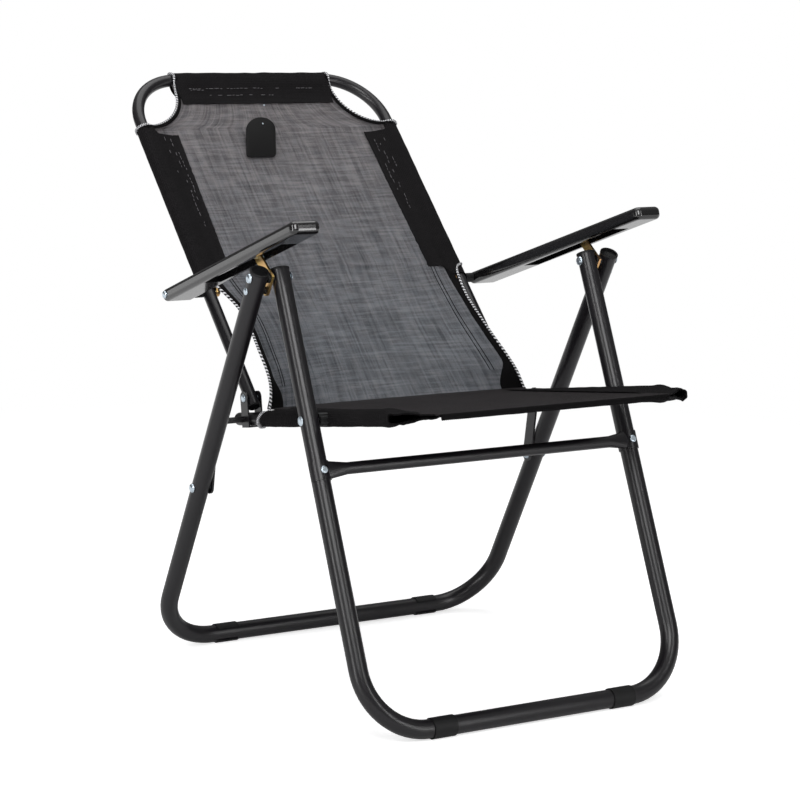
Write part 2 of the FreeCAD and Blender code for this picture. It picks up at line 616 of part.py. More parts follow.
back_plug = new_body("back_tube_plug", BACK)
flange = new_sketch(back_plug, "XY_Plane", "0 - back_tail - face_gap")
circle(flange, "rail_half_width", "0", "rail_dia / 2")
pad(back_plug, flange, "cap_rise / 2").Reversed = True
stem = new_sketch(back_plug, "XY_Plane", "0 - back_tail - face_gap")
circle(stem, "rail_half_width", "0", "rail_dia / 2 - rail_wall - running_fit")
pad(back_plug, stem, "back_tail - back_pin_dia / 2 - tip_gap")
dish(back_plug, "XY_Plane", "0 - back_tail - face_gap - cap_rise / 2", "rail_half_width",
     "rail_dia / 2 - cap_rim", "cap_dish", reverse=True)
keep(both_sides("back_tube_plugs", back_plug))

# ---------------------------------------------------------------- armrests
arm = new_body("armrest_right", ARM)
plan = new_sketch(arm, "XY_Plane")
arm_front = "0 - arm_length"
polygon(plan, [
    ("arm_inner_rear", "arm_tail"), ("arm_inner_front", arm_front),
    ("arm_inner_front + arm_width_front", arm_front), ("arm_inner_rear + arm_width_rear", "arm_tail")])
pad(arm, plan, "arm_thick", midplane=True)
round_edges(arm, "arm_corner_radius", lambda edge: (
    edge.BoundBox.YMax < 1 - size("arm_length") and edge.BoundBox.ZLength > size("arm_thick") / 2))
round_edges(arm, "arm_thick * 0.45", lambda edge: (
    edge.BoundBox.YMin > size("arm_tail") - 1 and edge.BoundBox.XLength > 9))
round_edges(arm, "arm_edge_radius", lambda edge: (
    edge.BoundBox.ZLength < 0.1 and edge.BoundBox.YLength > size("arm_length") / 2))
channel = new_sketch(arm, "XY_Plane", "arm_thick / 2 - channel_roof")
polygon(channel, [
    ("channel_inside", "0 - channel_rear"), ("channel_inside", "0 - channel_front"),
    ("channel_inside + channel_width", "0 - channel_front"),
    ("channel_inside + channel_width", "0 - channel_rear")])
trough = arm.newObject("PartDesign::Pocket", "arm_channel")
trough.Profile = channel
trough.setExpression("Length", bound("arm_thick"))
tooth = new_sketch(arm, "XY_Plane", "arm_thick / 2 - channel_roof + running_fit")
start = "0 - channel_rear - rack_pitch"
polygon(tooth, [
    ("channel_inside - rack_sunk", start), ("channel_inside - rack_sunk", start + " - rack_tooth_width"),
    ("channel_inside + channel_width + rack_sunk", start + " - rack_tooth_width"),
    ("channel_inside + channel_width + rack_sunk", start)])
first_tooth = pad(arm, tooth, "rack_tooth + running_fit")
first_tooth.Reversed = True
doc.recompute()
rack = arm.newObject("PartDesign::LinearPattern", "arm_rack")
rack.Originals = [first_tooth]
rack.Direction = (tooth, ["V_Axis"])
rack.Reversed = True
tooth_gaps = int((size("channel_front") - size("channel_rear")) / size("rack_pitch")) - 2
rack.Length = tooth_gaps * size("rack_pitch")
rack.Occurrences = tooth_gaps + 1
arm.Tip = rack
cut_across(arm, "0", "0", PIN_BORE)
keep(arm, mirrored("armrest_left", arm))

# ---------------------------------------------------------------- apex brackets
def bracket_outline(sketch):
    """A dogleg arm round three centres, as wide as the arm all the way."""
    half = size("bracket_width") / 2
    apex = PIVOT["apex"]
    centres = [PIVOT["bracket_low"] - apex, Vector(0, 0, 0), PIVOT["catch"] - apex]
    flat = [Vector(point.y, point.z, 0) for point in centres]
    low, high = (flat[1] - flat[0]).normalize(), (flat[2] - flat[1]).normalize()
    sides = []
    for hand in (1, -1):
        low_side = Vector(-low.y, low.x, 0) * (half * hand)
        high_side = Vector(-high.y, high.x, 0) * (half * hand)
        bisector = (low_side + high_side).normalize()
        elbow = bisector * (half * half / bisector.dot(low_side))
        sides.append((flat[0] + low_side, elbow, flat[2] + high_side))
    left, right = sides
    edges = [Part.LineSegment(left[0], left[1]), Part.LineSegment(left[1], left[2]),
             Part.Arc(left[2], flat[2] + high * half, right[2]),
             Part.LineSegment(right[2], right[1]), Part.LineSegment(right[1], right[0]),
             Part.Arc(right[0], flat[0] - low * half, left[0])]
    for edge in edges:
        sketch.addGeometry(edge)


bracket = new_body("apex_bracket_right", Placement(PIVOT["apex"], Rotation()))
outline = new_sketch(bracket, "YZ_Plane", "bracket_inside")
bracket_outline(outline)
pad(bracket, outline, "bracket_thick")
low_y, low_z = local(Placement(PIVOT["apex"], Rotation()), PIVOT["bracket_low"])
cut_across(bracket, "0", "0", PIVOT_BORE)
cut_across(bracket, low_y, low_z, SMALL_BORE)
cut_across(bracket, "catch_ahead", "catch_rise", "catch_pin_dia / 2 + running_fit")
keep(bracket, mirrored("apex_bracket_left", bracket))

pin = new_body("catch_pin", Placement(PIVOT["catch"], Rotation()))
pin_circle = new_sketch(pin, "YZ_Plane", "bracket_inside + bracket_thick / 2 - catch_pin_half")
circle(pin_circle, "0", "0", "catch_pin_dia / 2")
pad(pin, pin_circle, "2 * catch_pin_half")
keep(both_sides("catch_pins", pin))

bracket_out = "bracket_inside + bracket_thick"
leg_in = "rear_half_width - leg_dia / 2"
keep(both_sides("apex_inner_washers", ring_on_axis(
    "apex_inner_washer", PIVOT["apex"], "front_half_width + leg_dia / 2 + side_gap",
    "bracket_inside - face_gap", "washer_dia", PIVOT_BORE)))
keep(both_sides("apex_outer_spacers", ring_on_axis(
    "apex_outer_spacer", PIVOT["apex"], bracket_out + " + face_gap", leg_in + " - face_gap",
    "washer_dia", PIVOT_BORE)))
keep(both_sides("bracket_spacers", ring_on_axis(
    "bracket_spacer", PIVOT["bracket_low"], bracket_out + " + face_gap", leg_in + " - face_gap",
    "small_head_dia", SMALL_BORE)))

# ---------------------------------------------------------------- side links
link = new_body("side_link_right", LINK)
blade = new_sketch(link, "YZ_Plane", "link_inside")
reach = to_rod.Length
half = size("link_width") / 2
blade.addGeometry(Part.LineSegment(Vector(-half, 0, 0), Vector(-half, reach, 0)))
blade.addGeometry(Part.Arc(Vector(-half, reach, 0), Vector(0, reach + half, 0), Vector(half, reach, 0)))
blade.addGeometry(Part.LineSegment(Vector(half, reach, 0), Vector(half, 0, 0)))
blade.addGeometry(Part.Arc(Vector(half, 0, 0), Vector(0, -half, 0), Vector(-half, 0, 0)))
pad(link, blade, "link_thick")
cut_across(link, "0", "0", PIVOT_BORE)
cut_across(link, "0", "%.6f" % reach, SMALL_BORE)
keep(link, mirrored("side_link_left", link))

link_stud = new_body("link_stud", Placement(PIVOT["rod"], Rotation()))
stud_shank = new_sketch(link_stud, "YZ_Plane", "link_inside")
circle(stud_shank, "0", "0", "small_rivet_dia / 2")
pad(link_stud, stud_shank, "link_thick + face_gap")
stud_head = new_sketch(link_stud, "YZ_Plane", "link_inside + link_thick + face_gap")
circle(stud_head, "0", "0", "small_head_dia / 2")
pad(link_stud, stud_head, "stud_head_rise")
round_edges(link_stud, "stud_head_rise * 0.7", lambda edge: (
    edge.BoundBox.XMin > size("link_inside") + size("link_thick") + size("stud_head_rise") / 2))
keep(both_sides("link_studs", link_stud))

# ---------------------------------------------------------------- rivets and bolts
leg_out = "rear_half_width + leg_dia / 2 + face_gap"
keep(both_sides("apex_rivets", rivet(
    "apex_rivet", PIVOT["apex"], "front_half_width - leg_dia / 2 - side_gap", leg_out,
    "pivot_dia", "pivot_head_dia")))
keep(both_sides("seat_pivot_rivets", rivet(
    "seat_pivot_rivet", PIVOT["seat"], "rail_half_width - rail_dia / 2 - side_gap",
    "front_half_width + leg_dia / 2 + face_gap", "pivot_dia", "pivot_head_dia", "seat_head_rise")))
keep(both_sides("link_pivot_rivets", rivet(
    "link_pivot_rivet", PIVOT["link"], "link_inside - side_gap", leg_out, "pivot_dia", "pivot_head_dia")))
keep(both_sides("bracket_rivets", rivet(
    "bracket_rivet", PIVOT["bracket_low"], "bracket_inside - face_gap", leg_out,
    "small_rivet_dia", "small_head_dia", "bracket_head_rise")))
keep(both_sides("back_pivot_rivets", rivet(
    "back_pivot_rivet", PIVOT["back"], "rail_half_width - rail_dia / 2 - side_gap - saddle_thick - side_gap",
    "rail_half_width + rail_dia / 2 + side_gap + saddle_thick + side_gap",
    "back_pin_dia", "back_head_dia", "back_head_rise")))
keep(both_sides("armrest_pivot_bolts", rivet(
    "armrest_pivot_bolt", PIVOT["arm"],
    "rail_half_width - rail_dia / 2 - side_gap - nut_thick - nut_gap",
    "arm_inner_rear + arm_width_rear + 3 * side_gap", "back_pin_dia", "back_head_dia", "arm_head_rise")))
keep(both_sides("armrest_pivot_nuts", ring_on_axis(
    "armrest_pivot_nut", PIVOT["arm"], "rail_half_width - rail_dia / 2 - side_gap - nut_thick",
    "rail_half_width - rail_dia / 2 - side_gap", "washer_dia", PIN_BORE)))
keep(both_sides("armrest_spacers", ring_on_axis(
    "armrest_spacer", PIVOT["arm"], "rail_half_width + rail_dia / 2 + side_gap",
    "arm_inner_rear - side_gap", "washer_dia", PIN_BORE)))

# ---------------------------------------------------------------- cloth, as plain closed solids
sleeve_bore = "rail_dia / 2 + sleeve_gap"
sleeve_out = sleeve_bore + " + sleeve_thick"
mesh_half = "rail_half_width - rail_dia / 2 - mesh_margin"

seat_cloth = new_body("seat_mesh", SEAT)
seat_plan = new_sketch(seat_cloth, "XY_Plane")
wing = "rail_half_width + " + sleeve_out
step = "0 - rail_front - cap_rise - 1"
polygon(seat_plan, [
    ("0 - (%s)" % mesh_half, "mesh_rear"), ("0 - (%s)" % mesh_half, step), ("0 - (%s)" % wing, step),
    ("0 - (%s)" % wing, "0 - hem_front"), (wing, "0 - hem_front"), (wing, step),
    (mesh_half, step), (mesh_half, "mesh_rear")])
pad(seat_cloth, seat_plan, "cloth_thick", midplane=True)
round_edges(seat_cloth, "cloth_thick * 0.45", lambda edge: (
    edge.BoundBox.YMax < 1 - size("hem_front") and edge.BoundBox.ZLength < 0.1))
keep(seat_cloth)

seat_sleeve = new_body("seat_sleeve_right", SEAT)
sleeve_ring = new_sketch(seat_sleeve, "XZ_Plane", "0 - back_pivot_along + saddle_width / 2 + 4")
circle(sleeve_ring, "rail_half_width", "0", sleeve_out)
circle(sleeve_ring, "rail_half_width", "0", sleeve_bore)
pad(seat_sleeve, sleeve_ring, "back_pivot_along - saddle_width / 2 - 4 + rail_front")
window = new_sketch(seat_sleeve, "YZ_Plane", "rail_half_width - rail_dia")
circle(window, "0", "0", "spacer_dia / 2 + sleeve_gap")
opening = seat_sleeve.newObject("PartDesign::Pocket", "seat_sleeve_window")
opening.Profile = window
opening.setExpression("Length", bound("3 * rail_dia"))
opening.Reversed = True
keep(seat_sleeve, mirrored("seat_sleeve_left", seat_sleeve))

back_cloth = new_body("back_mesh", BACK)
back_plan = new_sketch(back_cloth, "XZ_Plane")
mesh_top = "back_length - rail_dia / 2 - 2 * sleeve_gap - sleeve_thick"
corner = "back_length - back_bend_radius"
polygon(back_plan, [
    ("0 - (%s)" % mesh_half, "sleeve_low"), (mesh_half, "sleeve_low"), (mesh_half, corner),
    ("top_sleeve_half", mesh_top), ("0 - top_sleeve_half", mesh_top), ("0 - (%s)" % mesh_half, corner)])
pad(back_cloth, back_plan, "cloth_thick", midplane=True)
keep(back_cloth)

lumbar = new_body("lumbar_mesh")
lumbar_side = new_sketch(lumbar, "YZ_Plane")
mesh_low = along(PIVOT["back"], rad("back_lean"), size("sleeve_low") - 1)
crease = on_seat(PIVOT["seat"], size("crease_along"), size("back_pivot_rise") - 15)
seat_end = on_seat(PIVOT["seat"], size("mesh_rear") + 1, 0)
normal = Vector(0, -math.cos(rad("back_lean")), math.sin(rad("back_lean")))
thick = size("cloth_thick")
hang = [mesh_low, mesh_low * 0.5 + crease * 0.5 + normal * 6, crease, seat_end]
front_face = [point + normal * (thick / 2) for point in hang[:3]] + [seat_end + Vector(0, 0, thick / 2)]
rear_face = [point - normal * (thick / 2) for point in hang[:3]] + [seat_end - Vector(0, 0, thick / 2)]
loop = [Vector(point.y, point.z, 0) for point in front_face + rear_face[::-1]]
for start_point, end_point in zip(loop, loop[1:] + loop[:1]):
    lumbar_side.addGeometry(Part.LineSegment(start_point, end_point))
pad(lumbar, lumbar_side, "2 * ( rail_half_width - rail_dia / 2 - lumbar_margin )", midplane=True)
keep(lumbar)

top_sleeve = new_body("back_top_sleeve", BACK)
top_ring = new_sketch(top_sleeve, "YZ_Plane")
circle(top_ring, "0", "back_length", sleeve_out)
circle(top_ring, "0", "back_length", sleeve_bore)
pad(top_sleeve, top_ring, "2 * ( rail_half_width - back_bend_radius )", midplane=True)
keep(top_sleeve)

side_sleeve = new_body("back_sleeve_right", BACK)
side_ring = new_sketch(side_sleeve, "XY_Plane", "sleeve_low")
circle(side_ring, "rail_half_width", "0", sleeve_out)
circle(side_ring, "rail_half_width", "0", sleeve_bore)
pad(side_sleeve, side_ring, "sleeve_high - sleeve_low")
keep(side_sleeve, mirrored("back_sleeve_left", side_sleeve))

patch = new_body("leather_patch", BACK)
patch_plan = new_sketch(patch, "XZ_Plane", "cloth_thick / 2 + 0.1")
polygon(patch_plan, [
    ("patch_aside - patch_width / 2", "patch_low"), ("patch_aside + patch_width / 2", "patch_low"),
    ("patch_aside + patch_width / 2", "patch_low + patch_height * 0.75"),
    ("patch_aside", "patch_low + patch_height"),
    ("patch_aside - patch_width / 2", "patch_low + patch_height * 0.75")])
pad(patch, patch_plan, "patch_thick")
keep(patch)

# ---------------------------------------------------------------- check and write
doc.recompute()
faults = [item.Label + " " + ",".join(item.State) for item in doc.Objects
          if "Invalid" in item.State or "Error" in item.State]
for node in nodes:
    if node.Shape.isNull() or not node.Shape.isValid() or not node.Shape.Solids:
        faults.append(node.Label + " has no valid solid")
if faults:
    raise RuntimeError("these did not build: " + "; ".join(faults))
os.makedirs("parts", exist_ok=True)
for node in nodes:
    node.Shape.exportStep(os.path.join("parts", node.Label + ".step"))
    print("%-24s solids %d  volume %.0f mm3" % (node.Label, len(node.Shape.Solids), node.Shape.Volume))
for name, point in PIVOT.items():
    print("%-12s y %.3f  z %.3f" % (name, point.y, point.z))
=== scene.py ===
"""Camp armchair: cloth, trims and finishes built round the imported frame."""
import json
import math
import random

import bpy
from mathutils import Matrix, Vector, noise


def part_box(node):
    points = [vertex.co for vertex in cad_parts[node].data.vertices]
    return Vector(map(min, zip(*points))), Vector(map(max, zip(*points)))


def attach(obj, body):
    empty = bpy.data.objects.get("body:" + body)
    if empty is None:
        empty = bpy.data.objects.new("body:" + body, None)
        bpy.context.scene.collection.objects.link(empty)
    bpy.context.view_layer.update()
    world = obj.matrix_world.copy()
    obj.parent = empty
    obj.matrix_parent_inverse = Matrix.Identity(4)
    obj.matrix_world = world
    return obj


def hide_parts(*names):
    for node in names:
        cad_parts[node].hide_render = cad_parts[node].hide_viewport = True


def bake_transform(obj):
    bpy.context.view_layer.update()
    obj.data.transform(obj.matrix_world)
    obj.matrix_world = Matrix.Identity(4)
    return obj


bl_info = {
    "name": "Camp Armchair Cloth and Finishes",
    "version": (1, 0, 0),
    "blender": (4, 5, 0),
    "location": "3D View > Sidebar > Armchair",
    "description": "Builds the mesh cloth, sleeves, piping and finishes of a folding camp armchair",
    "category": "Object",
}

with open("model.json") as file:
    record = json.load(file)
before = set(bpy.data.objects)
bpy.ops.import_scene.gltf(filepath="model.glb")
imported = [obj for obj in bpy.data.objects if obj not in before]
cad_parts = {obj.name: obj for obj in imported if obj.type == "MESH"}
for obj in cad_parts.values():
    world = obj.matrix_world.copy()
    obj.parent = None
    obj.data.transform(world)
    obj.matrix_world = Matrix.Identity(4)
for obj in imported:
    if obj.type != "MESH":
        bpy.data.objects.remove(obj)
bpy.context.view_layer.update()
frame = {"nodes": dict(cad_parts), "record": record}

PIVOT = {}
for joint in frame["record"]["behaviour"]["joints"]:
    PIVOT[joint["name"]] = Vector(joint["pos_m"])
SEAT_PIVOT = PIVOT["seat_swing"]
BACK_PIVOT = PIVOT["recline"]
BACK_LEAN = math.radians(44.5)
SEAT_SLOPE = math.radians(8.98)
RAIL_X = sum(corner.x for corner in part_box("seat_rail_right")) / 2
TUBE_RADIUS = (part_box("seat_rail_right")[1].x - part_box("seat_rail_right")[0].x) / 2
TOP_BAR = 0.5863
TOP_TUCK = 0.004

# Widths and lengths that the cloth's UV maps are measured in, in metres. The two shares are guesses.
MESH_WIDTH = 0.41
SEAT_CLOTH_LENGTH = 0.43

BLACK_CLOTH_THICKNESS = 0.0010
TAPE_THICKNESS = 0.0012
FLAP_REST = 0.0022
SEAM_LAP = 0.010


# ---------------------------------------------------------------- sizes a user would change
class ClothSizes(bpy.types.PropertyGroup):
    cloth: bpy.props.FloatProperty(
        name="Cloth thickness", description="Thickness of the mesh cloth",
        default=0.0011, unit="LENGTH")
    band_head_width: bpy.props.FloatProperty(
        name="Band head width", description="Width of a side band inboard of its tube, at the top",
        default=0.051, unit="LENGTH")
    band_foot_width: bpy.props.FloatProperty(
        name="Band foot width", description="Width of a side band inboard of its tube, at the bottom",
        default=0.0455, unit="LENGTH")
    band_low: bpy.props.FloatProperty(
        name="Band foot", description="Foot of the side bands above the back pivot",
        default=0.2075, unit="LENGTH")
    band_high: bpy.props.FloatProperty(
        name="Band head", description="Head of the side bands above the back pivot",
        default=0.4885, unit="LENGTH")
    sleeve_radius: bpy.props.FloatProperty(
        name="Sleeve radius", description="Outer radius of cloth sleeves on the tubes",
        default=TUBE_RADIUS + 0.0016, unit="LENGTH")
    top_half: bpy.props.FloatProperty(
        name="Top sleeve half length", description="Half the length of the sleeve on the top bar",
        default=0.1320, unit="LENGTH")
    top_depth: bpy.props.FloatProperty(
        name="Top sleeve depth", description="Depth of the top sleeve's flap below the bar",
        default=0.0495, unit="LENGTH")
    piping_radius: bpy.props.FloatProperty(
        name="Piping radius", description="Radius of the twisted piping",
        default=0.0018, unit="LENGTH")
    hem_front: bpy.props.FloatProperty(
        name="Hem", description="Front hem ahead of the seat pivot", default=0.2155, unit="LENGTH")
    seat_seam: bpy.props.FloatProperty(
        name="Seat seam", description="Seam of a seat sleeve inboard of its rail",
        default=0.039, unit="LENGTH")


class FinishColours(bpy.types.PropertyGroup):
    paint: bpy.props.FloatVectorProperty(
        name="Frame paint", description="Powder coat of the tubes", subtype="COLOR",
        default=(0.0055, 0.0048, 0.0060))
    mesh_light: bpy.props.FloatVectorProperty(
        name="Back mesh, light threads", description="Light threads of the back mesh",
        subtype="COLOR", default=(0.205, 0.200, 0.205))
    mesh_dark: bpy.props.FloatVectorProperty(
        name="Back mesh, dark threads", description="Dark threads of the back mesh",
        subtype="COLOR", default=(0.040, 0.040, 0.043))
    black_cloth: bpy.props.FloatVectorProperty(
        name="Black cloth", description="Sleeves, bands and tapes", subtype="COLOR",
        default=(0.0050, 0.0046, 0.0050))


def sizes():
    return bpy.context.scene.cloth_sizes


def colours():
    return bpy.context.scene.finish_colours


# ---------------------------------------------------------------- places on the chair
def on_back(x, up, ahead):
    """A point in the leaning back: across, up from the back pivot, ahead of the tube plane."""
    sine, cosine = math.sin(BACK_LEAN), math.cos(BACK_LEAN)
    return BACK_PIVOT + Vector((x, up * sine - ahead * cosine, up * cosine + ahead * sine))


def on_seat(x, rearward, rise):
    """A point at the seat: across, behind the seat pivot along the rail, above the rail axis."""
    sine, cosine = math.sin(SEAT_SLOPE), math.cos(SEAT_SLOPE)
    return SEAT_PIVOT + Vector((x, rearward * cosine + rise * sine, rise * cosine - rearward * sine))


def ahead_by(distance):
    """The step that lifts a point off the front of the leaning back."""
    return on_back(0, 0, distance) - on_back(0, 0, 0)


def smooth(low, high, value):
    """0 below low, 1 above high and an even S between them; high may be the smaller one."""
    share = min(1.0, max(0.0, (value - low) / (high - low)))
    return share * share * (3 - 2 * share)


def along_points(points, share):
    """A smooth line through chosen points, from share 0 to 1."""
    last = len(points) - 1
    place = min(share, 0.999999) * last
    index = int(place)
    t = place - index
    before = Vector(points[max(index - 1, 0)])
    start, end = Vector(points[index]), Vector(points[index + 1])
    after = Vector(points[min(index + 2, last)])
    slope_a, slope_b = (end - before) / 2, (after - start) / 2
    return ((2 * t ** 3 - 3 * t * t + 1) * start + (t ** 3 - 2 * t * t + t) * slope_a
            + (3 * t * t - 2 * t ** 3) * end + (t ** 3 - t * t) * slope_b)


# The free edge beside the sitter's hips: half width, up and ahead of the tube plane.
FREE_EDGE = [(0.2000, 0.215, 0.0015), (0.1950, 0.180, 0.0095), (0.1895, 0.140, 0.0225),
             (0.1885, 0.095, 0.0305), (0.1920, 0.050, 0.0360), (0.1960, 0.010, 0.0410),
             (0.2010, -0.018, 0.0400), (0.2085, -0.0395, 0.0275)]
CREASE_UP, CREASE_AHEAD = -0.0185, -0.002
HOLLOW = 2.4
LUMBAR_TOP = 0.215
LUMBAR_SPLIT = 0.45


def lumbar_point(across, share):
    """The cloth between the crease, share 0, and the foot of the side bands, share 1."""
    half, up, ahead = along_points(FREE_EDGE, 1 - share)
    middle_up = CREASE_UP + (LUMBAR_TOP - CREASE_UP) * share
    middle_ahead = CREASE_AHEAD * (1 - share)
    weight = abs(across) ** HOLLOW
    return on_back(across * half, middle_up + (up - middle_up) * weight,
                   middle_ahead + (ahead - middle_ahead) * weight)


CUT_CENTRE = Vector((0.212, 0.566))
CUT_REACH = Vector((0.078, 0.076))
FLAT_HALF = 0.2
CREASES = ((0.506, -0.0008), (0.484, 0.0007), (0.4477, 0.0010))
CREASE_WIDTH = 0.0022
SLACK = 0.0035
SHORT_CREASE_UP, SHORT_CREASE_ACROSS, SHORT_CREASE_REACH = 0.357, 0.32, 0.16


def cut_half_width(up):
    """Half width of the back cloth beside the oval corner cut-outs."""
    level = min(1.0, max(0.0, (CUT_CENTRE.y - up) / CUT_REACH.y))
    return min(FLAT_HALF, CUT_CENTRE.x - CUT_REACH.x * math.sqrt(1 - level * level))


def upper_point(across, share):
    """The flat of the back, from the foot of the side bands to the top bar."""
    up = LUMBAR_TOP + (TOP_BAR + TOP_TUCK - LUMBAR_TOP) * share
    half = cut_half_width(up)
    slack = -SLACK * math.cos(across * math.pi / 2) * math.sin(math.pi * share)
    fold = sum(rise * math.exp(-((up - level) / CREASE_WIDTH) ** 2) for level, rise in CREASES)
    aside = (across - SHORT_CREASE_ACROSS) / SHORT_CREASE_REACH
    short = 0.0010 * math.exp(-((up - SHORT_CREASE_UP) / CREASE_WIDTH) ** 2 - aside ** 2)
    return on_back(across * half, up, slack + fold * (1 - across ** 4) + short + 0.0015 * (1 - share))


# ---------------------------------------------------------------- modelling helpers
def clear_selection():
    bpy.ops.object.select_all(action="DESELECT")


def shaped_grid(name, across, along, place, measure=(1.0, 1.0), closed=False, caps=False, start=0.0):
    """A grid primitive whose points are moved to place(u, v); its UV map is in metres."""
    clear_selection()
    bpy.ops.mesh.primitive_grid_add(x_subdivisions=across, y_subdivisions=along, size=1,
                                    calc_uvs=True, location=(0, 0, 0))
    piece = bpy.context.object
    piece.name = name
    piece.data.name = name
    for corner in piece.data.uv_layers.active.data:
        corner.uv = (corner.uv[0] * measure[0], corner.uv[1] * measure[1] + start)
    for vertex in piece.data.vertices:
        vertex.co = place(vertex.co.x + 0.5, vertex.co.y + 0.5)
    bpy.ops.object.mode_set(mode="EDIT")
    bpy.ops.mesh.select_all(action="SELECT")
    if closed:
        bpy.ops.mesh.remove_doubles(threshold=1e-6)
    if caps:
        bpy.ops.mesh.fill_holes(sides=0)
    bpy.ops.mesh.select_all(action="SELECT")
    bpy.ops.mesh.normals_make_consistent(inside=False)
    bpy.ops.object.mode_set(mode="OBJECT")
    bpy.ops.object.shade_smooth()
    return piece


def add_modifier(piece, kind, **values):
    modifier = piece.modifiers.new(kind.lower(), kind)
    for key, value in values.items():
        setattr(modifier, key, value)
    clear_selection()
    bpy.context.view_layer.objects.active = piece
    piece.select_set(True)
    bpy.ops.object.modifier_apply(modifier=modifier.name)
    return piece


def thicken(piece, thickness, offset=0.0):
    add_modifier(piece, "SOLIDIFY", thickness=thickness, offset=offset, use_even_offset=True)
    bpy.ops.object.shade_smooth_by_angle(angle=math.radians(50))
    return piece


def tube_on(name, line, radius, around=10, steps=120, flat=1.0, up=None, rib=0.0, pitch=0.003):
    """A tube along line(share); flat squeezes it towards the direction up(share)."""
    points = [line(k / steps) for k in range(steps + 1)]
    tangents = [(points[min(k + 1, steps)] - points[max(k - 1, 0)]).normalized()
                for k in range(steps + 1)]
    side = tangents[0].orthogonal().normalized()
    sides = []
    for k in range(steps + 1):
        if up:
            side = tangents[k].cross(up(k / steps)).normalized()
        else:
            side = (side - tangents[k] * side.dot(tangents[k])).normalized()
        sides.append(side)
    length = sum((points[k + 1] - points[k]).length for k in range(steps))

    def place(u, v):
        index = round(v * steps)
        turn = 2 * math.pi * u
        other = tangents[index].cross(sides[index])
        swell = radius * (1 + rib * math.sin(2 * math.pi * v * length / pitch))
        return points[index] + (sides[index] * math.cos(turn) + other * (math.sin(turn) * flat)) * swell

    return shaped_grid(name, around, steps, place, (1.0, length), closed=True, caps=True)


def dress(piece, material, body):
    piece.data.materials.clear()
    piece.data.materials.append(material)
    if body:
        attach(piece, body)
    return piece


# ---------------------------------------------------------------- shader groups
def new_group(name, inputs, outputs):
    group = bpy.data.node_groups.new(name, "ShaderNodeTree")
    for label, kind, default in inputs:
        socket = group.interface.new_socket(label, in_out="INPUT", socket_type=kind)
        socket.default_value = default
    for label, kind in outputs:
        group.interface.new_socket(label, in_out="OUTPUT", socket_type=kind)
    source = group.nodes.new("NodeGroupInput")
    sink = group.nodes.new("NodeGroupOutput")
    return group, source, sink


def add_node(tree, kind, wires=(), **values):
    """A node with its plain values set and its sockets wired from (socket, output) pairs."""
    node = tree.nodes.new(kind)
    for key, value in values.items():
        if key.startswith("in_"):
            node.inputs[int(key[3:])].default_value = value
        else:
            setattr(node, key, value)
    for socket, output in wires:
        tree.links.new(output, node.inputs[socket])
    return node


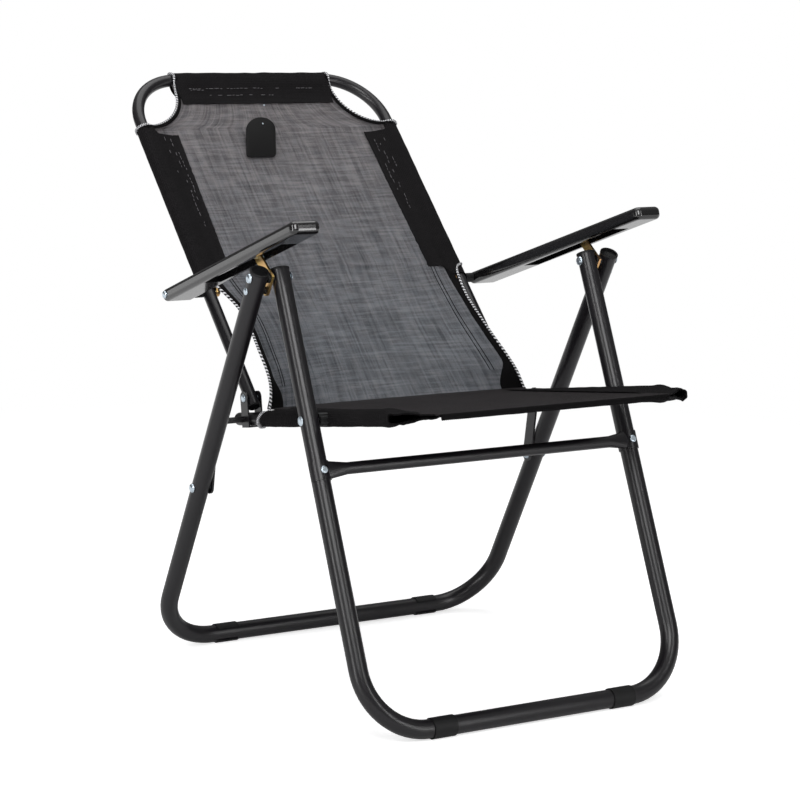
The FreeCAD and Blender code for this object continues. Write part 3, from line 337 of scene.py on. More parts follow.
def thread_group():
    """Woven threads with slubs: tone of the threads, height, gaps between them and a slow tint."""
    group, source, sink = new_group(
        "Slub Weave",
        [("Vector", "NodeSocketVector", (0, 0, 0)), ("Pitch", "NodeSocketFloat", 0.0012),
         ("Slub", "NodeSocketFloat", 0.5)],
        [("Threads", "NodeSocketFloat"), ("Height", "NodeSocketFloat"), ("Holes", "NodeSocketFloat"),
         ("Tint", "NodeSocketFloat")])
    per_metre = add_node(group, "ShaderNodeMath", [(1, source.outputs["Pitch"])],
                         operation="DIVIDE", in_0=1.0)
    scaled = add_node(group, "ShaderNodeVectorMath",
                      [(0, source.outputs["Vector"]), (3, per_metre.outputs[0])], operation="SCALE")
    split = add_node(group, "ShaderNodeSeparateXYZ", [(0, scaled.outputs[0])])
    waves = []
    streaks = []
    for axis, other, stretch, low, high in ((0, 1, 0.016, 0.33, 0.62), (1, 0, 0.030, 0.36, 0.66)):
        turn = add_node(group, "ShaderNodeMath", [(0, split.outputs[axis])], operation="MULTIPLY",
                        in_1=2 * math.pi)
        waves.append(add_node(group, "ShaderNodeMath", [(0, turn.outputs[0])], operation="SINE"))
        slow = add_node(group, "ShaderNodeMath", [(0, split.outputs[other])], operation="MULTIPLY",
                        in_1=stretch)
        thread = add_node(group, "ShaderNodeMath", [(0, split.outputs[axis])], operation="FLOOR")
        tones = []
        for spread, share in ((0.437, 0.62), (0.113, 0.38)):
            lane = add_node(group, "ShaderNodeMath", [(0, thread.outputs[0])], operation="MULTIPLY",
                            in_1=spread)
            pair = add_node(group, "ShaderNodeCombineXYZ", [(0, lane.outputs[0]), (1, slow.outputs[0])],
                            in_2=7.3 * axis + spread)
            cloud = add_node(group, "ShaderNodeTexNoise", [("Vector", pair.outputs[0])])
            cloud.inputs["Scale"].default_value = 1.0
            cloud.inputs["Detail"].default_value = 2.0
            tones.append(add_node(group, "ShaderNodeMath", [(0, cloud.outputs[0])],
                                  operation="MULTIPLY", in_1=share))
        tone = add_node(group, "ShaderNodeMath", [(0, tones[0].outputs[0]), (1, tones[1].outputs[0])],
                        operation="ADD")
        streak = add_node(group, "ShaderNodeMapRange", [(0, tone.outputs[0])])
        streak.inputs[1].default_value = low
        streak.inputs[2].default_value = high
        streaks.append(streak)
    fine = add_node(group, "ShaderNodeMath", [(0, waves[0].outputs[0]), (1, waves[1].outputs[0])],
                    operation="MULTIPLY")
    over = add_node(group, "ShaderNodeMath", [(0, fine.outputs[0])], operation="MULTIPLY_ADD",
                    in_1=0.9, in_2=0.5)
    over.use_clamp = True
    woven = add_node(group, "ShaderNodeMix",
                     [(0, over.outputs[0]), (2, streaks[0].outputs[0]), (3, streaks[1].outputs[0])])
    lifted = add_node(group, "ShaderNodeMath", [(0, fine.outputs[0])], operation="MULTIPLY_ADD",
                      in_1=0.5, in_2=0.5)
    blend_in = add_node(group, "ShaderNodeMix",
                        [(0, source.outputs["Slub"]), (2, lifted.outputs[0]), (3, woven.outputs[0])])
    ridges = add_node(group, "ShaderNodeMath", [(0, waves[0].outputs[0]), (1, waves[1].outputs[0])],
                      operation="ADD")
    height = add_node(group, "ShaderNodeMath", [(0, ridges.outputs[0])], operation="MULTIPLY_ADD",
                      in_1=0.25, in_2=0.5)
    gap = add_node(group, "ShaderNodeMath", [(0, fine.outputs[0])], operation="GREATER_THAN", in_1=0.62)
    tint = add_node(group, "ShaderNodeTexNoise", [("Vector", scaled.outputs[0])])
    tint.inputs["Scale"].default_value = 0.09
    tint.inputs["Detail"].default_value = 3.0
    group.links.new(blend_in.outputs[0], sink.inputs["Threads"])
    group.links.new(height.outputs[0], sink.inputs["Height"])
    group.links.new(gap.outputs[0], sink.inputs["Holes"])
    group.links.new(tint.outputs[0], sink.inputs["Tint"])
    return group


def speckle_group():
    """Fine orange peel, a slow variation and pale wear for painted and moulded surfaces."""
    group, source, sink = new_group(
        "Surface Speckle",
        [("Vector", "NodeSocketVector", (0, 0, 0)), ("Grain", "NodeSocketFloat", 900.0),
         ("Slow", "NodeSocketFloat", 9.0)],
        [("Grain", "NodeSocketFloat"), ("Slow", "NodeSocketFloat"), ("Scuff", "NodeSocketFloat")])
    grain = add_node(group, "ShaderNodeTexNoise", [("Vector", source.outputs["Vector"]),
                                                   ("Scale", source.outputs["Grain"])])
    grain.inputs["Detail"].default_value = 2.0
    slow = add_node(group, "ShaderNodeTexNoise", [("Vector", source.outputs["Vector"]),
                                                  ("Scale", source.outputs["Slow"])])
    slow.inputs["Detail"].default_value = 4.0
    flecks = add_node(group, "ShaderNodeTexNoise", [("Vector", source.outputs["Vector"])])
    flecks.inputs["Scale"].default_value = 160.0
    flecks.inputs["Detail"].default_value = 6.0
    scuff = add_node(group, "ShaderNodeMapRange", [(0, flecks.outputs[0])])
    scuff.inputs[1].default_value = 0.66
    scuff.inputs[2].default_value = 0.76
    group.links.new(grain.outputs[0], sink.inputs["Grain"])
    group.links.new(slow.outputs[0], sink.inputs["Slow"])
    group.links.new(scuff.outputs[0], sink.inputs["Scuff"])
    return group


MATERIALS = {}


def new_material(name, roughness, metallic=0.0, **sockets):
    material = bpy.data.materials.new(name)
    material.use_nodes = True
    tree = material.node_tree
    shader = tree.nodes["Principled BSDF"]
    shader.inputs["Roughness"].default_value = roughness
    shader.inputs["Metallic"].default_value = metallic
    for key, value in sockets.items():
        shader.inputs[key.replace("_", " ")].default_value = value
    MATERIALS[name] = material
    return tree, shader


def two_colours(tree, factor, low, high):
    ramp = tree.nodes.new("ShaderNodeMix")
    ramp.data_type = "RGBA"
    ramp.inputs[6].default_value = (*low, 1)
    ramp.inputs[7].default_value = (*high, 1)
    tree.links.new(factor, ramp.inputs[0])
    return ramp.outputs[2]


def bump(tree, shader, height, strength, distance):
    node = add_node(tree, "ShaderNodeBump")
    node.inputs["Strength"].default_value = strength
    node.inputs["Distance"].default_value = distance
    tree.links.new(height, node.inputs["Height"])
    tree.links.new(node.outputs[0], shader.inputs["Normal"])


def hard_finish(name, group, low, high, rough_low, rough_high, metallic=0.0, grain=900.0, slow=9.0,
                strength=0.12, **sockets):
    """Paint, plastic or plated metal: two close colours, uneven gloss and a fine grain."""
    tree, shader = new_material(name, rough_low, metallic, **sockets)
    place = add_node(tree, "ShaderNodeTexCoord")
    speckle = add_node(tree, "ShaderNodeGroup", node_tree=group)
    speckle.inputs["Grain"].default_value = grain
    speckle.inputs["Slow"].default_value = slow
    tree.links.new(place.outputs["Object"], speckle.inputs["Vector"])
    tree.links.new(two_colours(tree, speckle.outputs["Slow"], low, high), shader.inputs["Base Color"])
    gloss = add_node(tree, "ShaderNodeMapRange", [(0, speckle.outputs["Slow"])])
    gloss.inputs[3].default_value = rough_low
    gloss.inputs[4].default_value = rough_high
    tree.links.new(gloss.outputs[0], shader.inputs["Roughness"])
    bump(tree, shader, speckle.outputs["Grain"], strength, 0.0002)


def cloth_finish(name, group, dark, light, pitch, slub, roughness=0.85, strength=0.5, holes=0.0,
                 painted_light_gradient=None, **sockets):
    """Woven cloth on the piece's own UV map, which is in metres, with optional painted shade and light that
    darken and cool the cloth low on the map and brighten and warm it high up.
    """
    tree, shader = new_material(name, roughness, **sockets)
    place = add_node(tree, "ShaderNodeTexCoord")
    weave = add_node(tree, "ShaderNodeGroup", node_tree=group)
    weave.inputs["Pitch"].default_value = pitch
    weave.inputs["Slub"].default_value = slub
    tree.links.new(place.outputs["UV"], weave.inputs["Vector"])
    colour = two_colours(tree, weave.outputs["Threads"], dark, light)
    # Painted shade and light: a multiplier darker and bluer towards the bottom of the UV map by the seat
    # crease, brighter and warmer towards the top, with a slow random tint mixed in.
    if painted_light_gradient:
        split = add_node(tree, "ShaderNodeSeparateXYZ", [(0, place.outputs["UV"])])
        height = add_node(tree, "ShaderNodeMapRange", [(0, split.outputs[1])])
        height.inputs[1].default_value = 0.10
        height.inputs[2].default_value = 0.60
        light_gradient_and_mottle = add_node(tree, "ShaderNodeMath", [(0, height.outputs[0]), (1, weave.outputs["Tint"])],
                           operation="ADD")
        painted_light_share = add_node(tree, "ShaderNodeMapRange", [(0, light_gradient_and_mottle.outputs[0])])
        painted_light_share.inputs[1].default_value = 0.45
        painted_light_share.inputs[2].default_value = 1.55
        shade = two_colours(tree, painted_light_share.outputs[0], *painted_light_gradient)
        toned = add_node(tree, "ShaderNodeMix", data_type="RGBA", blend_type="MULTIPLY")
        toned.inputs[0].default_value = 1.0
        tree.links.new(colour, toned.inputs[6])
        tree.links.new(shade, toned.inputs[7])
        colour = toned.outputs[2]
    tree.links.new(colour, shader.inputs["Base Color"])
    bump(tree, shader, weave.outputs["Height"], strength, pitch * 0.35)
    if holes:
        clear = add_node(tree, "ShaderNodeMath", [(0, weave.outputs["Holes"])], operation="MULTIPLY_ADD",
                         in_1=-holes, in_2=1.0)
        tree.links.new(clear.outputs[0], shader.inputs["Alpha"])


def piping_finish(name):
    """Black cord with slanted white strands."""
    tree, shader = new_material(name, 0.6)
    place = add_node(tree, "ShaderNodeTexCoord")
    split = add_node(tree, "ShaderNodeSeparateXYZ", [(0, place.outputs["UV"])])
    turns = add_node(tree, "ShaderNodeMath", [(0, split.outputs[1])], operation="MULTIPLY", in_1=270.0)
    twist = add_node(tree, "ShaderNodeMath", [(0, turns.outputs[0]), (1, split.outputs[0])], operation="ADD")
    part = add_node(tree, "ShaderNodeMath", [(0, twist.outputs[0])], operation="FRACT")
    white = add_node(tree, "ShaderNodeMapRange", [(0, part.outputs[0])])
    white.inputs[1].default_value = 0.48
    white.inputs[2].default_value = 0.56
    fray = add_node(tree, "ShaderNodeTexNoise", [("Vector", place.outputs["UV"])])
    fray.inputs["Scale"].default_value = 900.0
    pale = two_colours(tree, fray.outputs[0], (0.55, 0.55, 0.58), (0.95, 0.95, 0.97))
    mix = add_node(tree, "ShaderNodeMix", data_type="RGBA")
    mix.inputs[6].default_value = (0.006, 0.006, 0.007, 1)
    tree.links.new(white.outputs[0], mix.inputs[0])
    tree.links.new(pale, mix.inputs[7])
    tree.links.new(mix.outputs[2], shader.inputs["Base Color"])
    bump(tree, shader, white.outputs[0], 0.5, 0.0004)


class CHAIR_OT_materials(bpy.types.Operator):
    """Make every finish of the chair"""
    bl_idname = "chair.materials"
    bl_label = "Finishes"

    def execute(self, context):
        colour = colours()
        speckle, weave = speckle_group(), thread_group()
        paint = tuple(colour.paint)
        hard_finish("frame_paint", speckle, paint, tuple(c * 1.7 for c in paint), 0.26, 0.36,
                    grain=1400.0, strength=0.10, Specular_IOR_Level=0.5)
        hard_finish("black_nylon", speckle, (0.0045, 0.0045, 0.005), (0.009, 0.009, 0.0095), 0.45, 0.62,
                    grain=1800.0, strength=0.25, Specular_IOR_Level=0.3)
        hard_finish("armrest_gloss", speckle, (0.004, 0.004, 0.0042), (0.007, 0.0065, 0.007), 0.16, 0.24,
                    grain=500.0, strength=0.03, Coat_Weight=0.6, Coat_Roughness=0.07)
        hard_finish("bright_rivets", speckle, (0.50, 0.60, 0.68), (0.80, 0.88, 0.95), 0.22, 0.42,
                    metallic=1.0, grain=1500.0, slow=120.0, strength=0.2)
        hard_finish("yellow_zinc", speckle, (0.70, 0.56, 0.10), (0.86, 0.42, 0.30), 0.25, 0.42,
                    metallic=1.0, grain=1200.0, slow=60.0, strength=0.2)
        # The last colour pair of the back mesh is painted shade and light: darker and bluer low on the back,
        # brighter and warmer near the top bar.
        cloth_finish("back_mesh_cloth", weave, tuple(colour.mesh_dark), tuple(colour.mesh_light),
                     0.0014, 0.9, strength=0.35, holes=0.30, Specular_IOR_Level=0.2,
                     painted_light_gradient=((0.86, 0.93, 1.0), (1.10, 1.03, 1.02)))
        cloth_finish("seat_mesh_cloth", weave, (0.0030, 0.0028, 0.0032), (0.0420, 0.0370, 0.0390),
                     0.0030, 0.25, roughness=0.7, strength=0.9, Specular_IOR_Level=0.10)
        black = tuple(colour.black_cloth)
        cloth_finish("black_fabric", weave, tuple(c * 0.35 for c in black), tuple(c * 3.0 for c in black),
                     0.0027, 0.30, roughness=0.75, strength=1.0, Specular_IOR_Level=0.08)
        cloth_finish("tape", weave, tuple(c * 0.35 for c in black), tuple(c * 1.5 for c in black),
                     0.0011, 0.15, roughness=0.8, strength=0.9, Specular_IOR_Level=0.06)
        piping_finish("white_piping")
        hard_finish("black_leather", speckle, (0.0040, 0.0040, 0.0042), (0.0075, 0.0072, 0.0075), 0.40, 0.60,
                    grain=700.0, slow=55.0, strength=0.5, Specular_IOR_Level=0.07)
        cloth_finish("pale_thread", weave, (0.10, 0.095, 0.10), (0.30, 0.29, 0.31), 0.0006, 0.3,
                     roughness=0.8, Specular_IOR_Level=0.1)
        return {"FINISHED"}


class CHAIR_OT_frame_finish(bpy.types.Operator):
    """Give each part of the frame its finish"""
    bl_idname = "chair.frame_finish"
    bl_label = "Frame finishes"

    def execute(self, context):
        slots = {part["node"]: part["material_slot"] for part in frame["record"]["subparts"]}
        for name, node in frame["nodes"].items():
            node.data.materials.clear()
            node.data.materials.append(MATERIALS[slots[name]])
        return {"FINISHED"}


# ---------------------------------------------------------------- cloth pieces
ZONES = {"high": (LUMBAR_SPLIT, 1.0), "low": (0.0, LUMBAR_SPLIT)}


def blend_zone(piece, zone):
    """Bakes the piece's placement into its mesh; the high and the low zone are treated alike."""
    if zone == "high":
        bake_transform(piece)
    else:
        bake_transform(piece)


class CHAIR_OT_back_cloth(bpy.types.Operator):
    """The grey mesh from the lumbar split to the top bar"""
    bl_idname = "chair.back_cloth"
    bl_label = "Back cloth"

    def execute(self, context):
        lumbar_length = (LUMBAR_TOP - CREASE_UP) * (1 - LUMBAR_SPLIT)
        upper_length = TOP_BAR + TOP_TUCK - LUMBAR_TOP
        length = lumbar_length + upper_length
        joint_at = lumbar_length / length

        def place(u, v):
            across = 2 * u - 1
            if v < joint_at:
                return lumbar_point(across, LUMBAR_SPLIT + (1 - LUMBAR_SPLIT) * v / joint_at)
            return upper_point(across, (v - joint_at) / (1 - joint_at))

        piece = shaped_grid("back_cloth", 96, 230, place, (MESH_WIDTH, length),
                            start=(LUMBAR_TOP - CREASE_UP) * LUMBAR_SPLIT)
        thicken(piece, sizes().cloth)
        dress(piece, MATERIALS["back_mesh_cloth"], None)
        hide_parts("back_mesh")
        blend_zone(piece, "high")
        return {"FINISHED"}


class CHAIR_OT_lumbar_cloth(bpy.types.Operator):
    """The grey mesh from the crease to the lumbar split"""
    bl_idname = "chair.lumbar_cloth"
    bl_label = "Lumbar cloth"

    def execute(self, context):
        length = (LUMBAR_TOP - CREASE_UP) * LUMBAR_SPLIT

        def place(u, v):
            return lumbar_point(2 * u - 1, LUMBAR_SPLIT * v)

        piece = shaped_grid("lumbar_cloth", 96, 60, place, (MESH_WIDTH, length))
        thicken(piece, sizes().cloth)
        dress(piece, MATERIALS["back_mesh_cloth"], None)
        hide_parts("lumbar_mesh")
        blend_zone(piece, "low")
        return {"FINISHED"}


HEM_TUCK = 0.004
CREASE_REARWARD = 0.221
SEAT_FRONT_LEVEL, SEAT_CREASE_RISE, SEAT_RISE_SHAPE = 0.0008, 0.0105, 0.9
SEAT_DIP = 0.0045


def seat_level(rearward):
    """Height of the seat cloth above the rail axis, from the crease down to the front hem."""
    front = -sizes().hem_front
    run = min(1.0, max(0.0, (rearward - front) / (CREASE_REARWARD - front)))
    return SEAT_FRONT_LEVEL + SEAT_CREASE_RISE * run ** SEAT_RISE_SHAPE


def seat_surface(across, share):
    """The seat cloth from the crease, share 0, to the front hem, share 1."""
    crease = lumbar_point(across, 0.0) - SEAT_PIVOT
    sine, cosine = math.sin(SEAT_SLOPE), math.cos(SEAT_SLOPE)
    start = Vector((crease.x, crease.y * cosine - crease.z * sine, crease.y * sine + crease.z * cosine))
    rearward = start.y + (HEM_TUCK - sizes().hem_front - start.y) * share
    level = seat_level(rearward)
    rise = start.z + (level - start.z) * smooth(0.0, 0.12, share)
    dip = SEAT_DIP * (1 - across * across) * math.sin(math.pi * share)
    half = RAIL_X - sizes().seat_seam + SEAM_LAP
    x = start.x + (across * half - start.x) * smooth(0.0, 0.14, share)
    return on_seat(x, rearward, rise - dip)


class CHAIR_OT_seat_cloth(bpy.types.Operator):
    """The dark mesh of the seat and its ribbed front hem"""
    bl_idname = "chair.seat_cloth"
    bl_label = "Seat cloth"

    def execute(self, context):
        length = SEAT_CLOTH_LENGTH
        width = 2 * (RAIL_X - sizes().seat_seam + SEAM_LAP)
        piece = shaped_grid("seat_cloth", 90, 130, lambda u, v: seat_surface(2 * u - 1, 1 - v),
                            (width, length))
        thicken(piece, sizes().cloth)
        dress(piece, MATERIALS["seat_mesh_cloth"], "seat")
        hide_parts("seat_mesh")

        half = RAIL_X - sizes().seat_seam + 0.003

        def hem_line(share):
            wave = 0.0004 * noise.noise(Vector((share * 14, 0, 3)))
            return on_seat((2 * share - 1) * half, -sizes().hem_front + 0.0035, -0.0026 + wave)

        hem = tube_on("front_hem", hem_line, 0.0040, around=14, steps=640, flat=0.55,
                      up=lambda share: Vector((0, 1, 0)), rib=0.05, pitch=0.0029)
        dress(hem, MATERIALS["black_fabric"], "seat")
        return {"FINISHED"}


def loop_section(share, width, rest):
    """Across a sewn loop of cloth on a tube: upper seam, round the tube's outside, lower seam.

    Gives the reach outboard of the tube axis, the height over it, and how near the tube it is.
    """
    radius = sizes().sleeve_radius
    arc = math.pi * radius
    run = share * (2 * width + arc)
    if width <= run <= width + arc:
        turn = (run - width) / radius
        return radius * math.sin(turn), radius * math.cos(turn), 1.0
    side = 1 if run < width else -1
    near = run / width if side > 0 else 1 - (run - width - arc) / width
    near = min(1.0, max(0.0, near))
    edge = rest + side * 0.0016
    return width * (near - 1), edge + (side * radius - edge) * smooth(0.1, 1.0, near), near


class CHAIR_OT_side_bands(bpy.types.Operator):
    """The black cloth bands that wrap the back tubes"""
    bl_idname = "chair.side_bands"
    bl_label = "Side bands"

    def execute(self, context):
        size = sizes()
        for side, hand in (("right", 1), ("left", -1)):
            def place(u, v, hand=hand):
                width = size.band_foot_width + (size.band_head_width - size.band_foot_width) * v
                reach, ahead, near = loop_section(u, width, 0.0006)
                step = 1 - smooth(0.66, 0.84, near)
                ragged = 0.0012 * noise.noise(Vector((u * 60, hand, 0)))
                top = size.band_high + (ragged - 0.0135) * step
                low = size.band_low - 0.020 * smooth(0.40, 0.72, near) + ragged * step
                up = low + (top - low) * v
                wave = 0.0007 * noise.noise(Vector((reach * 30, up * 45, hand * 2.0)))
                fray = 0.0009 * (1 - near) * noise.noise(Vector((up * 130, hand, 5)))
                return on_back(hand * (RAIL_X + reach + fray), up, ahead + wave * (1 if ahead > 0 else -1))

            length = size.band_high - size.band_low
            width = 2 * size.band_head_width + math.pi * size.sleeve_radius
            piece = shaped_grid("side_band_" + side, 80, 150, place, (width, length))
            thicken(piece, BLACK_CLOTH_THICKNESS)
            dress(piece, MATERIALS["black_fabric"], "back")
            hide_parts("back_sleeve_" + side)
        return {"FINISHED"}


class CHAIR_OT_top_sleeve(bpy.types.Operator):
    """The black sleeve on the top bar"""
    bl_idname = "chair.top_sleeve"
    bl_label = "Top sleeve"

    def execute(self, context):
        size = sizes()
        radius, depth = size.sleeve_radius, size.top_depth
        arc = math.pi * radius
        width = 2 * depth + arc

        def place(u, v):
            run = u * width
            if run < depth:
                up = TOP_BAR - depth + run
                ahead = FLAP_REST + (radius - FLAP_REST) * smooth(0.2, 1.0, run / depth)
            elif run < depth + arc:
                turn = (run - depth) / radius
                up = TOP_BAR + radius * math.sin(turn)
                ahead = radius * math.cos(turn)
            else:
                back_run = (run - depth - arc) / depth
                up = TOP_BAR - depth * back_run
                ahead = -FLAP_REST - (radius - FLAP_REST) * smooth(1.0, 0.2, back_run)
            half = size.top_half - 0.0035 * smooth(TOP_BAR - 0.012, TOP_BAR - depth, up)
            x = (2 * v - 1) * half
            wave = 0.0008 * noise.noise(Vector((x * 38, up * 70, 1))) * (1 if ahead > 0 else -1)
            return on_back(x, up + 0.0005 * noise.noise(Vector((x * 60, 0, 9))), ahead + wave)

        piece = shaped_grid("top_sleeve", 48, 140, place, (width, 2 * size.top_half))
        thicken(piece, BLACK_CLOTH_THICKNESS)
        dress(piece, MATERIALS["black_fabric"], "back")
        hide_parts("back_top_sleeve")
        return {"FINISHED"}


SLEEVE_REAR = 0.182
SLEEVE_SLANT = 0.010
RAIL_END = -0.146
FLATTENED = 0.62
FOLD_PITCH = 0.021
RIB_RISE, RIB_PITCH = 0.00032, 0.0046
RECESS = {1: 0.030, -1: 0.046}


def seat_sleeve_point(hand, u, v):
    """A seat sleeve: snug on its rail, loose and crumpled past the rail's front end."""
    size = sizes()
    outboard = math.sin(math.pi * u) ** 1.5
    rear = SLEEVE_REAR - SLEEVE_SLANT * math.cos(2 * math.pi * (u - 0.25)) * outboard
    front = -size.hem_front + 0.002 + RECESS[hand] * outboard
    rearward = rear + (front - rear) * v
    reach, rise, near = loop_section(u, size.seat_seam, seat_level(rearward))
    loose = smooth(RAIL_END + 0.006, RAIL_END - 0.030, rearward)
    top = 1 if u < 0.5 else -1
    crumple = noise.noise(Vector((u * 9, rearward * 85, hand * 4.0)))
    rise *= 1 - FLATTENED * loose
    fold = math.sin(rearward * 2 * math.pi / FOLD_PITCH + 5 * u + hand) * near
    reach += loose * (0.0050 * outboard + 0.0016 * crumple)
    rise += loose * (0.0022 * crumple + 0.0011 * fold + 0.0026 * top * near - 0.0012)
    bulge = math.exp(-((rearward - RAIL_END + 0.004) / 0.012) ** 2)
    rise += 0.0016 * bulge * near * top
    rib = RIB_RISE * math.sin(rearward * 2 * math.pi / RIB_PITCH)
    slow = 0.0004 * noise.noise(Vector((u * 4, rearward * 55, 2)))
    grow = 1 + (rib + slow) * near / size.sleeve_radius
    return on_seat(hand * (RAIL_X + reach * grow), rearward, rise * grow + (rib + slow) * (1 - near))


class CHAIR_OT_seat_sleeves(bpy.types.Operator):
    """The ribbed sleeves on the seat rails with their loose, flattened front ends"""
    bl_idname = "chair.seat_sleeves"
    bl_label = "Seat sleeves"

    def execute(self, context):
        size = sizes()
        length = SLEEVE_REAR + size.hem_front
        width = 2 * size.seat_seam + math.pi * size.sleeve_radius
        for side, hand in (("right", 1), ("left", -1)):
            piece = shaped_grid("seat_sleeve_cloth_" + side, 64, 440,
                                lambda u, v, hand=hand: seat_sleeve_point(hand, u, v), (width, length))
            thicken(piece, 0.0009)
            dress(piece, MATERIALS["black_fabric"], "seat")
            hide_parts("seat_sleeve_" + side)
            lip = tube_on("seat_sleeve_lip_" + side,
                          lambda share, hand=hand: seat_sleeve_point(hand, share, 0.999), 0.0011,
                          around=8, steps=120)
            dress(lip, MATERIALS["tape"], "seat")
        return {"FINISHED"}


# ---------------------------------------------------------------- edge trims
def corner_line(hand, lift):
    """Round an upper corner cut-out, from behind the top bar to behind the side tube."""
    radius = sizes().sleeve_radius + lift
    half = sizes().top_half + 0.0005
    points = [(half, TOP_BAR, -radius), (half, TOP_BAR + radius, 0.0), (half, TOP_BAR, radius),
              (half + 0.0005, TOP_BAR - 0.013, 0.0060)]
    for degrees in (4, 20, 36, 52, 66, 78):
        turn = math.radians(degrees)
        points.append((CUT_CENTRE.x - CUT_REACH.x * math.cos(turn),
                       CUT_CENTRE.y - CUT_REACH.y * math.sin(turn), 0.0028 + 0.004 * turn ** 4 / 4))
    points += [(RAIL_X, 0.4895, radius), (RAIL_X + radius * 0.75, 0.4890, radius * 0.66),
               (RAIL_X + radius, 0.4890, 0.0), (RAIL_X + radius * 0.6, 0.4890, -radius * 0.8)]
    placed = [on_back(hand * x, up, ahead) for x, up, ahead in points]
    return lambda share: along_points(placed, share)


def hip_line(hand, lift):
    """Down the free edge beside the hips, from round the back tube to round the seat rail."""
    radius = sizes().sleeve_radius + lift
    upper = [(RAIL_X + radius * 0.6, 0.209, -radius * 0.8), (RAIL_X + radius, 0.2085, 0.0),
             (RAIL_X + radius * 0.45, 0.204, radius * 0.9), (RAIL_X - 0.0055, 0.194, radius * 0.86)]
    placed = [on_back(hand * x, up, ahead) for x, up, ahead in upper]
    placed += [on_back(hand * x, up, ahead + 0.0012) for x, up, ahead in FREE_EDGE[2:-1]]
    for degrees in (-4, 45, 95, 150, 195):
        turn = math.radians(degrees)
        slant = SLEEVE_REAR + 0.004 - SLEEVE_SLANT * math.cos(turn)
        placed.append(on_seat(hand * (RAIL_X + radius * math.sin(turn)), slant, radius * math.cos(turn)))
    return lambda share: along_points(placed, share)


def lean_normal(share):
    """The way that the front of the back faces, the same all along a tape."""
    return ahead_by(1)


TAPE_WIDTH, GUSSET_SPREAD = 0.0101, 0.0175


class CHAIR_OT_trims(bpy.types.Operator):
    """Black edge tapes and the twisted piping on them"""
    bl_idname = "chair.trims"
    bl_label = "Tapes and piping"

    def execute(self, context):
        radius = sizes().piping_radius
        for side, hand in (("right", 1), ("left", -1)):
            corner = tube_on("corner_piping_" + side, corner_line(hand, 0.0016), radius, steps=300)
            dress(corner, MATERIALS["white_piping"], "back")
            tape_line = corner_line(hand, 0.0002)
            inward = Vector((-hand * 0.0026, 0, 0)) + (on_back(0, -0.0022, 0) - on_back(0, 0, 0))
            tape = tube_on("corner_tape_" + side, lambda share: tape_line(share) + inward,
                           0.0032, around=12, steps=160, flat=0.45, up=lean_normal)
            dress(tape, MATERIALS["tape"], "back")
            self.hip_piping(side, hand, radius)
            for zone in ZONES:
                self.hip_tape(side, hand, zone)
        return {"FINISHED"}

    def hip_piping(self, side, hand, radius):
        line = hip_line(hand, 0.0014)
        split = 0.46
        for zone, start, end in (("high", 0.0, split), ("low", split, 1.0)):
            piece = tube_on("hip_piping_%s_%s" % (zone, side),
                            lambda share: line(start + (end - start) * share), radius, steps=200)
            dress(piece, MATERIALS["white_piping"], None)
            blend_zone(piece, zone)

    def tape_width(self, level):
        return TAPE_WIDTH + GUSSET_SPREAD * (1 - smooth(0.02, 0.26, level))

    def hip_tape(self, side, hand, zone):
        """A tape along the free edge that widens to a gusset at the seat."""
        low, high = ZONES[zone]

        def place(u, v):
            level = low + (high - low) * v
            width = self.tape_width(level)
            return lumbar_point(hand * (1.004 - u * width / 0.19), level) + ahead_by(0.0011)

        levels = [low + (high - low) * k / 60 for k in range(61)]
        edge = [lumbar_point(hand, level) for level in levels]
        length = sum((b - a).length for a, b in zip(edge, edge[1:]))
        wide = sum(self.tape_width(level) for level in levels) / len(levels)
        piece = shaped_grid("hip_tape_%s_%s" % (zone, side), 12, 90, place, (wide, length))
        thicken(piece, TAPE_THICKNESS)
        dress(piece, MATERIALS["tape"], None)
        blend_zone(piece, zone)


PATCH_SHEAR = 0.347


